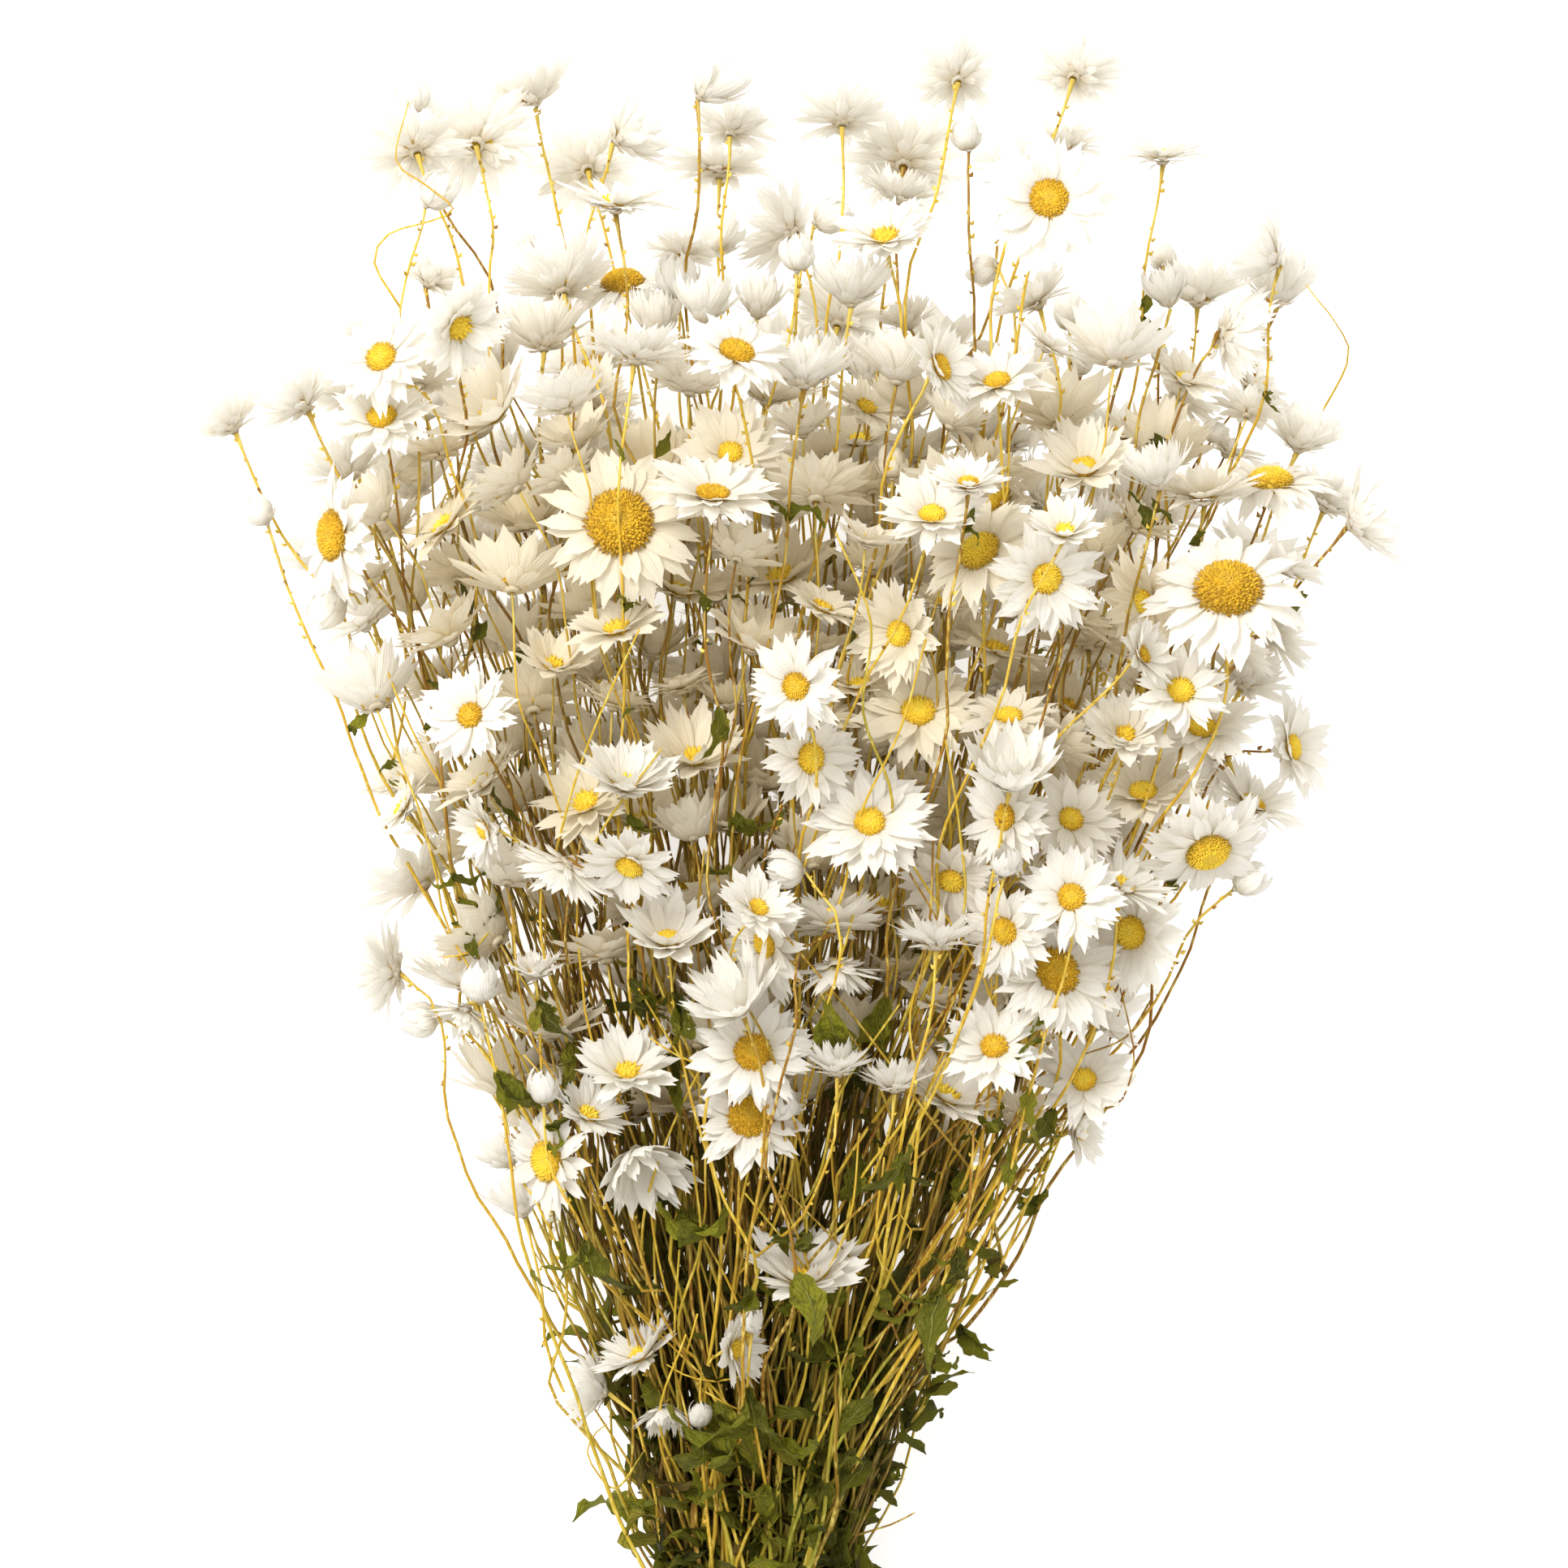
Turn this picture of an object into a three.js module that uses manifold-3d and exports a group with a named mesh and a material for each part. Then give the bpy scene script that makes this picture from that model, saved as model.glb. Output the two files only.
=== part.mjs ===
// A tied bunch of dried white rhodanthe, lying on its side on a flat surface.
//
// The stems run along Y, from their cut ends at -Y through the tie to the papery
// heads at +Y, and the side that is seen from above is the bunch's front.
// Each flowering spray is one body: a main stem, its branches, leaves and heads.
// Units are millimetres, +Z is up, and the origin is under the middle of the bunch.

import * as THREE from 'three';
import Module from 'manifold-3d';

const wasm = await Module();
wasm.setup();

// Driving dimensions
const PICTURE_SCALE = 0.22; // real millimetres in one picture pixel
const TIE_ACROSS = 930; // where the tie's middle lies, in picture pixels
const TIE_DOWN = 2180;
const TIE_ROWS = [4, 6, 8, 9, 9, 8, 6, 4]; // sprays in each layer at the tie
const HEADS_PER_SPRAY = 4;
const STEM_PITCH = 3.4; // between sprays in a layer at the tie
const ROW_PITCH = 2.95; // between layers at the tie
const STEM_RADIUS = 1.45; // corner radius of a spray's clinging stems at the tie
const STEM_TIP_RADIUS = 0.85;
const BRANCH_RADIUS = 0.8;
const STEM_CLEARANCE = 0.4; // kept between the stems of two sprays
const CUT_LENGTH = 56; // from the tie to the cut ends
const CUT_FLARE = 1.28; // how much wider the cut ends stand than the tie
const FAN_LENGTH = 330; // from the tie to where the bunch is widest
const FAN_HALF_WIDTH = 149;
const FAN_HALF_THICKNESS = 68;
const FAN_RISE = 55; // how far the bunch's middle climbs from the tie
const FAN_DRIFT = 13; // how far its middle drifts to the right
const NECK_HALF_WIDTH = 16; // the bunch just above the tie
const NECK_HALF_THICKNESS = 10;
const TOP_NARROWING = 85; // lost from its half width and thickness in one more
const TOP_THINNING = 45; // fan length past the widest place
const BAND_WIDTH = 12;
const BAND_THICKNESS = 2.4;
const BAND_TURNS = 3;
const GROOVE_SHARE = 0.62; // of the band's thickness, what is left between two turns
const BAND_CLEARANCE = 0.35;
const PETAL_THICKNESS = 0.9;
const CUT_GAP = 0.4; // kept where a petal is trimmed by its neighbour
const SEAT_HEIGHT = 1.4; // from a head's foot to where its petals spread
const RIM_HEIGHT = 2.3; // from a head's foot to its disc's rim
const DOME_SHARE = 0.4; // of a disc's radius, its rise over the rim
const BENT_BACK = 1.15; // heads open further than this have a high domed disc
const HIGH_DOME_SHARE = 0.75;
const LONGEST_PETAL = 15.5;
const CLOSED_ANGLE = 14; // degrees from a head's axis to its petals when closed,
const OPENING_ANGLE = 71; // and how much an opening of 1 adds
const BUD_OPENING = 0.24; // heads less open or smaller than these are eggs
const BUD_SIZE = 12;
const NOTCH_SHARE = 0.5; // of a petal's length, where the notches beside it lie
const SHORTEST = 0.58; // of its full length, for a petal that is hemmed in
const INNER_LENGTH = 0.86; // of an outer petal's, an inner one's
const INNER_LIFT = 0.24; // radians by which inner petals stand more upright,
const OUTER_DROP = 0.04; // and outer ones less
const LEAF_THICKNESS = 1.1;
const CLEARANCE = 0.35; // kept between the heads and leaves of two sprays
const LEAF_ATTEMPTS = 60;
const HEAD_ATTEMPTS = 14;

// Every head that shows, read from the picture: its middle across and down in
// pixels, its size in millimetres, how far it is open (0 bud, 0.5 cup, 1 flat,
// 1.3 bent back), the way it faces in the picture (degrees from the right, turning
// left), its tilt from the viewer (0 faces the viewer, 90 side on, 180 from behind)
// and its disc's width in millimetres, 0 where the disc doesn't show.
const PICTURE_HEADS = [
  [505, 110, 10, 0.3, 85, 95, 0], [578, 165, 32, 1, 80, 150, 0], [520, 180, 26, 1, 120, 140, 0],
  [542, 235, 11, 0.15, 50, 90, 0], [525, 338, 19, 0.8, 60, 110, 0], [568, 408, 24, 0.9, -30, 45, 0],
  [645, 105, 24, 0.6, 105, 90, 0], [768, 155, 23, 0.55, 35, 100, 0], [720, 190, 26, 0.9, 120, 150, 0],
  [878, 105, 20, 0.35, 45, 95, 0], [885, 195, 28, 1, 90, 105, 0], [900, 150, 22, 0.9, 80, 120, 0],
  [760, 258, 28, 0.95, 90, 82, 0], [645, 288, 7, 0.2, 170, 130, 0], [690, 345, 28, 0.7, 100, 120, 0],
  [668, 408, 24, 0.6, 95, 105, 0], [765, 352, 24, 1.25, 95, 65, 12], [833, 340, 13, 0.2, 90, 85, 0],
  [838, 300, 20, 0.9, 80, 110, 0], [888, 285, 14, 0.3, 90, 150, 0], [970, 270, 26, 0.8, 160, 120, 0],
  [982, 315, 10, 0.3, 90, 90, 0], [935, 370, 15, 0.3, 85, 95, 0], [812, 390, 18, 0.35, 90, 90, 0],
  [868, 378, 18, 0.4, 85, 90, 0], [1038, 140, 24, 0.85, 90, 120, 0], [1178, 95, 24, 0.9, 110, 140, 0],
  [1325, 90, 24, 0.9, 70, 140, 0], [1115, 190, 30, 1, 90, 140, 0], [1190, 165, 9, 0.35, 100, 100, 0],
  [1110, 235, 20, 0.75, 75, 95, 0], [1028, 258, 11, 0.2, 20, 100, 0], [1288, 255, 32, 1, 90, 12, 11.7],
  [1088, 300, 25, 0.9, 100, 55, 0], [1318, 175, 20, 0.9, 90, 100, 0], [1240, 200, 16, 0.5, 100, 120, 0],
  [1213, 330, 9, 0.2, 200, 130, 0], [1275, 370, 22, 0.8, 120, 100, 0], [1322, 378, 10, 0.4, 90, 110, 0],
  [1050, 355, 22, 0.5, 90, 90, 0], [1118, 392, 14, 0.6, 110, 110, 0], [1435, 190, 23, 0.95, 92, 88, 0],
  [1440, 310, 8, 0.3, 90, 140, 0], [1437, 358, 15, 0.3, 105, 95, 0], [1490, 352, 26, 0.7, 88, 92, 0],
  [1568, 345, 24, 0.45, 85, 90, 0], [1560, 320, 22, 0.55, 150, 95, 0], [1518, 410, 24, 0.7, -10, 120, 0],
  [280, 519, 23, 0.75, 122, 100, 0], [370, 497, 24, 0.75, 135, 100, 0], [420, 478, 22, 0.8, 110, 120, 0],
  [428, 413, 13, 0.35, 85, 110, 0], [474, 447, 26, 1, 130, 30, 9], [472, 514, 24, 0.9, 100, 40, 9],
  [520, 494, 13, 0.35, 90, 110, 0], [577, 507, 14, 0, 95, 90, 0], [504, 576, 8, 0, 20, 90, 0],
  [500, 587, 24, 0.5, 100, 110, 0], [425, 575, 22, 0.7, 110, 110, 0], [422, 662, 29, 1.15, 180, 55, 14],
  [318, 627, 9, 0.1, 120, 90, 0], [402, 747, 11, 0.3, 235, 95, 0], [497, 722, 13, 0.1, 95, 90, 0],
  [612, 622, 24, 1.2, 95, 70, 0], [605, 567, 22, 0.8, 130, 115, 0], [592, 682, 22, 0.8, 200, 80, 0],
  [708, 464, 8, 0.5, 90, 90, 0], [732, 495, 22, 0.8, 60, 130, 0], [785, 440, 26, 0.8, 80, 100, 0],
  [907, 447, 25, 1.1, 70, 50, 10], [947, 475, 26, 0.6, 80, 90, 0], [990, 462, 26, 0.6, 90, 100, 0],
  [640, 560, 20, 0.8, 120, 110, 0], [715, 560, 28, 0.9, 100, 100, 0], [764, 650, 34, 1.2, 80, 15, 19],
  [690, 665, 30, 1.3, 270, 80, 16], [899, 562, 25, 0.8, 90, 30, 6], [880, 612, 31, 0.95, 85, 62, 10],
  [685, 755, 16, 0.45, 90, 85, 0], [747, 755, 19, 0.35, 95, 80, 0], [802, 790, 20, 0.5, 80, 90, 0],
  [917, 772, 30, 0.9, 85, 110, 0], [984, 720, 24, 0.6, 90, 90, 0], [1071, 452, 14, 0.3, 80, 90, 0],
  [1119, 494, 20, 0.45, 90, 90, 0], [1158, 460, 22, 0.9, 20, 60, 8], [1224, 477, 24, 1, 100, 55, 8],
  [1284, 477, 28, 0.9, 20, 110, 0], [1206, 525, 20, 0.4, 100, 90, 0], [1336, 437, 8, 0.5, 90, 100, 0],
  [1334, 512, 22, 0.8, 60, 110, 0], [1334, 575, 26, 0.75, 95, 45, 5], [1064, 567, 24, 0.7, 90, 115, 0],
  [1099, 570, 9, 0.3, 90, 100, 0], [1146, 640, 26, 0.9, 90, 50, 8], [1189, 602, 18, 0.8, 90, 60, 6],
  [1237, 620, 26, 1.1, 130, 70, 10], [1289, 612, 24, 0.8, 40, 80, 0], [1212, 690, 30, 1.25, 130, 45, 12],
  [1285, 711, 27, 1, -40, 20, 9], [1304, 662, 18, 0.7, 90, 50, 0], [1361, 662, 28, 0.8, 90, 120, 0],
  [1376, 724, 24, 0.8, 60, 110, 0], [1027, 700, 20, 0.6, 100, 90, 0], [1076, 690, 20, 0.6, 90, 80, 0],
  [1107, 782, 24, 0.8, 200, 30, 8], [1179, 780, 20, 0.5, 85, 75, 0], [1346, 790, 24, 0.9, 80, 110, 0],
  [1433, 428, 5, 0.2, 90, 100, 0], [1501, 527, 7, 0.2, 30, 90, 0], [1606, 542, 24, 0.6, 75, 85, 0],
  [1423, 587, 18, 0.45, 105, 85, 0], [1498, 607, 28, 0.85, 95, 85, 0], [1561, 600, 30, 1.2, 90, 70, 13],
  [1636, 612, 24, 0.8, 60, 95, 0], [1680, 642, 24, 0.6, 20, 85, 0], [1421, 742, 26, 0.95, 200, 50, 8],
  [1500, 740, 34, 1.3, 90, 40, 19], [1576, 777, 22, 0.8, 20, 110, 0], [584, 883, 25, 1, 150, 28, 7],
  [532, 842, 22, 0.8, 120, 110, 0], [527, 953, 20, 0.25, 145, 95, 0], [598, 1022, 18, 0.8, 200, 60, 5],
  [684, 823, 26, 0.9, 90, 120, 0], [733, 813, 12, 0.3, 90, 90, 0], [982, 847, 23, 1, 200, 20, 8],
  [900, 862, 18, 0.7, 90, 90, 0], [1028, 867, 24, 0.5, 90, 70, 0], [1068, 911, 24, 0.45, 90, 80, 0],
  [1131, 879, 28, 1, 90, 30, 10], [998, 937, 25, 1, 0, 35, 9], [856, 926, 24, 0.6, 90, 50, 0],
  [797, 901, 12, 0.1, 130, 85, 0], [773, 960, 24, 0.7, 80, 60, 0], [719, 995, 26, 0.8, 120, 45, 0],
  [709, 1059, 24, 0.9, 240, 110, 0], [768, 1063, 24, 1, 250, 50, 8], [1068, 1012, 30, 1, 90, 25, 8],
  [964, 1073, 11, 0.1, 180, 90, 0], [823, 1150, 24, 0.6, 90, 50, 4], [935, 1117, 20, 0.8, 60, 45, 5],
  [950, 1167, 26, 1, 200, 45, 8], [1018, 1142, 26, 0.9, 90, 110, 0], [1028, 1191, 22, 0.9, 270, 100, 0],
  [910, 1221, 26, 0.5, 120, 70, 0], [928, 1297, 28, 1, 90, 8, 11], [925, 1380, 25, 1.1, 90, 25, 13],
  [962, 1358, 9, 0, 90, 60, 0], [675, 1432, 25, 1.1, 185, 45, 12], [724, 1373, 20, 0.8, 60, 60, 0],
  [788, 1440, 24, 0.5, 300, 45, 0], [773, 1319, 24, 0.8, 90, 50, 0], [591, 1211, 11, 0, 90, 80, 0],
  [518, 1257, 10, 0.1, 190, 100, 0], [567, 1250, 20, 0.8, 250, 80, 0], [478, 1201, 24, 0.8, 175, 110, 0],
  [670, 1338, 10, 0.1, 90, 90, 0], [660, 1196, 14, 0.7, 90, 80, 0], [622, 1432, 14, 0.5, 120, 110, 0],
  [636, 1485, 18, 0.5, 110, 100, 0], [1235, 847, 24, 0.9, 120, 110, 0], [1242, 887, 22, 1, 90, 55, 8],
  [1311, 872, 28, 0.95, 80, 140, 0], [1363, 813, 26, 0.9, 90, 130, 0], [1449, 852, 22, 1, 90, 25, 8],
  [1405, 810, 18, 0.8, 20, 60, 5], [1385, 901, 20, 0.6, 90, 40, 0], [1481, 896, 28, 0.9, 100, 40, 4],
  [1540, 838, 24, 0.8, 60, 110, 0], [1594, 921, 26, 0.9, 10, 60, 7], [1505, 936, 24, 0.8, 200, 110, 0],
  [1544, 993, 26, 0.9, 60, 70, 5], [1240, 960, 24, 0.5, 90, 60, 6], [1314, 955, 12, 0.1, 90, 90, 0],
  [1407, 978, 28, 0.9, 90, 50, 6], [1171, 1005, 24, 1, 90, 150, 0], [1233, 1014, 26, 1, 180, 45, 5],
  [1323, 1014, 24, 1, 60, 30, 6], [1235, 1054, 8, 0, 90, 60, 0], [1490, 1040, 30, 1.2, 290, 50, 13],
  [1540, 1081, 10, 0.1, 30, 90, 0], [1181, 1074, 26, 1, 250, 40, 8], [1309, 1110, 24, 1, 90, 15, 8],
  [1255, 1142, 22, 1, 200, 30, 8], [1299, 1137, 18, 0.8, 40, 50, 0], [1397, 1149, 28, 1, 190, 30, 10],
  [1289, 1192, 32, 1.15, 45, 35, 14], [1377, 1088, 24, 0.9, 60, 70, 0], [1152, 1157, 22, 0.8, 90, 100, 0],
  [1235, 1230, 22, 0.6, 170, 70, 0], [1225, 1284, 24, 1, 90, 30, 8], [1161, 1348, 26, 0.8, 60, 60, 0],
  [1338, 1334, 24, 0.9, 90, 25, 5], [1335, 1398, 16, 0.7, 0, 60, 0], [1107, 1334, 18, 0.7, 90, 100, 0],
  [991, 1573, 30, 0.7, 90, 60, 0], [925, 1632, 7, 0, 90, 60, 0], [785, 1676, 22, 0.8, 120, 70, 0],
  [907, 1666, 20, 0.8, 0, 60, 0], [729, 1723, 20, 0.6, 170, 100, 0], [860, 1751, 7, 0.1, 90, 90, 0],
  [1033, 1312, 18, 0.7, 90, 100, 0], [818, 1751, 14, 0.6, 270, 70, 0],
];

// The larger leaves that show: middle across and down in pixels, length and width
// in millimetres, and the way the tip points in the picture.
const PICTURE_LEAVES = [
  [600, 770, 15, 8, 60], [620, 815, 12, 7, 120], [530, 901, 8, 6, 60], [500, 884, 10, 4, 140],
  [465, 894, 9, 4, 60], [465, 954, 9, 3, 150], [600, 999, 14, 4, -50], [572, 1104, 12, 4, -70],
  [603, 1130, 18, 9, -60], [567, 1174, 12, 4, -50], [985, 600, 12, 6, 80], [812, 545, 9, 4, 60],
  [902, 720, 10, 5, 100], [802, 747, 9, 5, 60], [1370, 380, 8, 4, 60], [1393, 400, 9, 4, -60],
  [1666, 492, 7, 4, -80], [1448, 652, 12, 5, 110], [1601, 747, 11, 5, -60], [1413, 625, 7, 4, 60],
  [1428, 540, 8, 4, 120], [1186, 652, 8, 4, 60], [1021, 567, 8, 4, 90], [887, 895, 15, 5, -65],
  [807, 1034, 10, 4, -75], [929, 1041, 16, 6, -70], [909, 1091, 14, 5, -110], [1475, 1110, 12, 5, 250],
  [679, 1268, 13, 5, -60], [767, 1243, 13, 5, -55], [804, 1243, 12, 6, 70], [847, 1253, 17, 7, -75],
  [712, 1306, 13, 5, -65], [729, 1296, 10, 7, 250], [649, 1343, 16, 6, -62], [704, 1393, 10, 7, 20],
  [822, 1346, 18, 4, -65], [924, 1411, 10, 5, -60], [712, 1566, 17, 8, -65], [847, 1546, 25, 9, -88],
  [1054, 1296, 28, 9, 250], [1284, 1268, 9, 7, 180], [1224, 1381, 9, 7, 40], [1280, 1390, 14, 6, 235],
  [1119, 1446, 14, 6, -85], [1171, 1468, 10, 8, 60], [1076, 1446, 16, 5, -85], [1306, 1508, 13, 3, 245],
  [1234, 1553, 13, 9, 100], [1196, 1563, 10, 7, -60], [1029, 1521, 10, 7, 10], [812, 1740, 12, 7, -80],
  [772, 1835, 15, 6, 250], [765, 1867, 19, 6, 145], [882, 1817, 21, 6, -57], [852, 1847, 14, 8, 120],
  [902, 1785, 26, 5, -65], [930, 1775, 25, 6, -85], [935, 1620, 13, 7, -40], [1018, 1605, 22, 11, -80],
  [1032, 1680, 15, 8, 260], [1050, 1725, 14, 6, 250], [992, 1827, 28, 7, -80], [952, 1877, 15, 8, 260],
  [1155, 1627, 20, 7, 230], [1187, 1670, 13, 6, -65], [1147, 1702, 15, 7, 240], [1100, 1632, 12, 9, -70],
  [1097, 1852, 12, 8, 60], [1140, 1845, 9, 5, 20],
];

// Heads at the back that lie face down on the surface and carry the bunch: share of
// the half width from its middle, and distance from the tie
const RESTING_HEADS = [[-0.62, 335], [0.6, 345], [-0.05, 385]];
const RESTING_SIZE = 25;
const RESTING_DISC = 9;

// A repeatable stream of draws between 0 and 1
function seeded(seed) {
  let state = seed;
  return () => {
    state = (state * 1664525 + 1013904223) % 4294967296;
    return state / 4294967296;
  };
}

const vec = (x, y, z) => new THREE.Vector3(x, y, z);
const clamp = THREE.MathUtils.clamp;
const radians = THREE.MathUtils.degToRad;

// The bunch's own shape: how far along the fan a place is, and how wide, thick and
// high the bunch is there
const inside = (y) => clamp(y / FAN_LENGTH, 0, 1);
const past = (y) => Math.max(0, y / FAN_LENGTH - 1);
const swelling = (y, neck, full, loss) => neck + (full - neck) * inside(y) - loss * past(y);
const middleX = (y) => FAN_DRIFT * inside(y);
const middleZ = (y) => TIE_HEIGHT + FAN_RISE * inside(y);
const halfWidth = (y) => swelling(y, NECK_HALF_WIDTH, FAN_HALF_WIDTH, TOP_NARROWING);
const halfThickness = (y) => swelling(y, NECK_HALF_THICKNESS, FAN_HALF_THICKNESS, TOP_THINNING);

// The oval that holds the sprays at the tie, a little looser than its rows
const TIE_HALF_WIDTH = 1.13 * ((Math.max(...TIE_ROWS) - 1) / 2) * STEM_PITCH + 1.3 * STEM_RADIUS;
const TIE_HALF_DEPTH = 1.2 * ((TIE_ROWS.length - 1) / 2) * ROW_PITCH + 1.1 * STEM_RADIUS;
const TIE_HEIGHT = TIE_HALF_DEPTH + BAND_CLEARANCE + BAND_THICKNESS;

const EDGE_ROUNDNESS = 0.12; // keeps the bunch's outer edge from thinning to nothing

function depthAt(x, y) {
  const off = (x - middleX(y)) / halfWidth(y);
  return halfThickness(y) * Math.sqrt(Math.max(EDGE_ROUNDNESS, 1 - off * off));
}

// The unit vector of a facing, given the way it points in the picture and its tilt
function facing(aim, tilt) {
  const a = radians(aim);
  const t = radians(tilt);
  return vec(Math.sin(t) * Math.cos(a), Math.sin(t) * Math.sin(a), Math.cos(t));
}

const LOW_HEADS = 255; // heads nearer the tie than this all lie on the bunch's front

// How far in front of the bunch's middle a head lies, from -1 at the back to 1:
// those that face the viewer lie in front, those seen from behind at the back
function frontShare(y, tilt, draw) {
  const step = draw();
  if (y < LOW_HEADS) return 0.72 + 0.28 * step;
  if (tilt <= 60) return 0.35 + 0.6 * step;
  if (tilt <= 100) return -0.6 + 1.2 * step;
  return -0.95 + 1.1 * step;
}

// half and deep are how far a head reaches across its axis and along it
function makeHead(x, y, size, open, aim, tilt, disc, share) {
  const face = facing(aim, tilt);
  const petalAngle = radians(CLOSED_ANGLE + OPENING_ANGLE * open);
  const petal = Math.min(LONGEST_PETAL, (0.5 * size) / Math.max(Math.sin(petalAngle), 0.72));
  const z = middleZ(y) + share * depthAt(x, y);
  const bud = open < BUD_OPENING || size < BUD_SIZE;
  const half = 0.5 * size;
  const deep = bud ? half : Math.max(4.5, 0.55 * petal * Math.abs(Math.cos(petalAngle)) + 3);
  return { middle: vec(x, y, z), face, size, open, disc, petal, petalAngle, bud, half, deep, aimedZ: z };
}

const GOLDEN_SHARE = 0.381966; // steps that never fall twice on the same place

function placeHeads() {
  const draw = seeded(20211);
  const heads = PICTURE_HEADS.map(([across, down, size, open, aim, tilt, disc]) => {
    const x = (across - TIE_ACROSS) * PICTURE_SCALE;
    const y = (TIE_DOWN - down) * PICTURE_SCALE;
    return makeHead(x, y, size, open, aim, tilt, disc, frontShare(y, tilt, draw));
  });
  for (const [side, along] of RESTING_HEADS) {
    const x = middleX(along) + side * halfWidth(along);
    const head = makeHead(x, along, RESTING_SIZE, 0.95, 90, 180, RESTING_DISC, -1);
    head.middle.z = SEAT_HEIGHT;
    head.pinned = true;
    heads.push(head);
  }
  // The far side holds the rest, in a few arcs spread over the fan
  const wanted = TIE_ROWS.reduce((sum, row) => sum + row, 0) * HEADS_PER_SPRAY;
  const hidden = wanted - heads.length;
  for (let k = 0; k < hidden; k += 1) {
    const along = 150 + 270 * ((k * GOLDEN_SHARE) % 1);
    const side = 0.85 * (2 * ((k + 0.5) / hidden) - 1);
    const x = middleX(along) + 0.92 * side * halfWidth(along);
    const aim = 90 - 38 * side + 40 * (draw() - 0.5);
    const size = 20 + 9 * draw();
    const open = 0.7 + 0.35 * draw();
    heads.push(makeHead(x, along, size, open, aim, 105 + 70 * draw(), 0, -0.8 - 0.2 * draw()));
  }
  return heads;
}

// How far a head reaches from its middle toward another
function reach(head, way) {
  const along = way.dot(head.face);
  return Math.sqrt(head.half * head.half * (1 - along * along) + head.deep * head.deep * along * along);
}

const SPREADING_ROUNDS = 90;
const FARTHEST_NEIGHBOUR = 36; // two heads further apart than this never meet
const LOWEST_MIDDLE = 6; // of a head over the surface

// Heads that would share a place give way, mostly forward and back
function spreadHeads(heads) {
  const way = vec(0, 0, 0);
  const ceiling = 2 * FAN_HALF_THICKNESS + 18;
  for (let round = 0; round < SPREADING_ROUNDS; round += 1) {
    for (let i = 0; i < heads.length; i += 1) {
      for (let j = i + 1; j < heads.length; j += 1) {
        const a = heads[i];
        const b = heads[j];
        way.subVectors(b.middle, a.middle);
        const apart = way.length();
        if (apart > FARTHEST_NEIGHBOUR) continue;
        way.divideScalar(apart);
        const short = 0.97 * (reach(a, way) + reach(b, way)) - apart;
        if (short <= 0) continue;
        const lift = way.z >= 0 ? 1 : -1;
        const push = vec(0.12 * way.x, 0.12 * way.y, lift).multiplyScalar(0.25 * short);
        if (!a.pinned) a.middle.sub(push);
        if (!b.pinned) b.middle.add(push);
      }
    }
    for (const head of heads.filter((each) => !each.pinned)) {
      head.middle.z += 0.02 * (head.aimedZ - head.middle.z);
      head.middle.z = clamp(head.middle.z, Math.min(0.5 * head.half + 1, LOWEST_MIDDLE), ceiling);
    }
  }
}

const LOWEST_FOOT = 2.6; // of a head that isn't pressed to the surface
const FAN_ORIGIN = 40; // how far behind the tie the stems would meet

// Sprays: heads sorted into layers by how steeply their stems leave the tie, and
// across each layer by their angle, so that the stems keep their order in the fan
function gatherSprays(heads) {
  for (const head of heads) {
    const back = head.bud ? 0.5 * head.size : 0.42 * head.petal * Math.cos(head.petalAngle) + 1;
    head.foot = head.middle.clone().addScaledVector(head.face, -back);
    head.foot.z = head.pinned ? RIM_HEIGHT : Math.max(head.foot.z, LOWEST_FOOT);
    head.steep = (head.foot.z - TIE_HEIGHT) / (head.foot.y + FAN_ORIGIN);
    head.lean = head.foot.x / (head.foot.y + FAN_ORIGIN);
  }
  const sorted = [...heads].sort((a, b) => a.steep - b.steep);
  const sprays = [];
  let taken = 0;
  TIE_ROWS.forEach((count, row) => {
    const layer = sorted.slice(taken, taken + count * HEADS_PER_SPRAY).sort((a, b) => a.lean - b.lean);
    taken += layer.length;
    for (let column = 0; column < count; column += 1) {
      const own = layer.slice(column * HEADS_PER_SPRAY, (column + 1) * HEADS_PER_SPRAY);
      own.sort((a, b) => b.foot.y - a.foot.y);
      const x = (column - (count - 1) / 2) * STEM_PITCH;
      const z = TIE_HEIGHT + (row - (TIE_ROWS.length - 1) / 2) * ROW_PITCH;
      sprays.push({ heads: own, root: vec(x, 0, z), routes: [] });
    }
  });
  return sprays;
}

const LOWEST_STEM = 3;
const MAIN_BEND = 30; // how far before its head a stem turns toward it
const BRANCH_BEND = 24;
const CUT_UNEVENNESS = 9; // between the longest and the shortest cut end

// A curve from a start, along its first direction, to a head's foot
function stemCurve(start, startWay, head, bendLength) {
  const distance = start.distanceTo(head.foot);
  const first = start.clone().addScaledVector(startWay, 0.34 * distance);
  const last = head.foot.clone().addScaledVector(head.face, -Math.min(bendLength, 0.3 * distance));
  last.z = Math.max(last.z, LOWEST_STEM);
  return new THREE.CubicBezierCurve3(start.clone(), first, last, head.foot.clone());
}

const MAIN_STEPS = [0.18, 0.45, 0.74, 1];
const BRANCH_STEPS = [0.4, 0.76, 1];
const BRANCH_RUN = 9; // how far a branch has gone when it stands clear of its stem
const BRANCH_RISE = 5;

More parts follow.
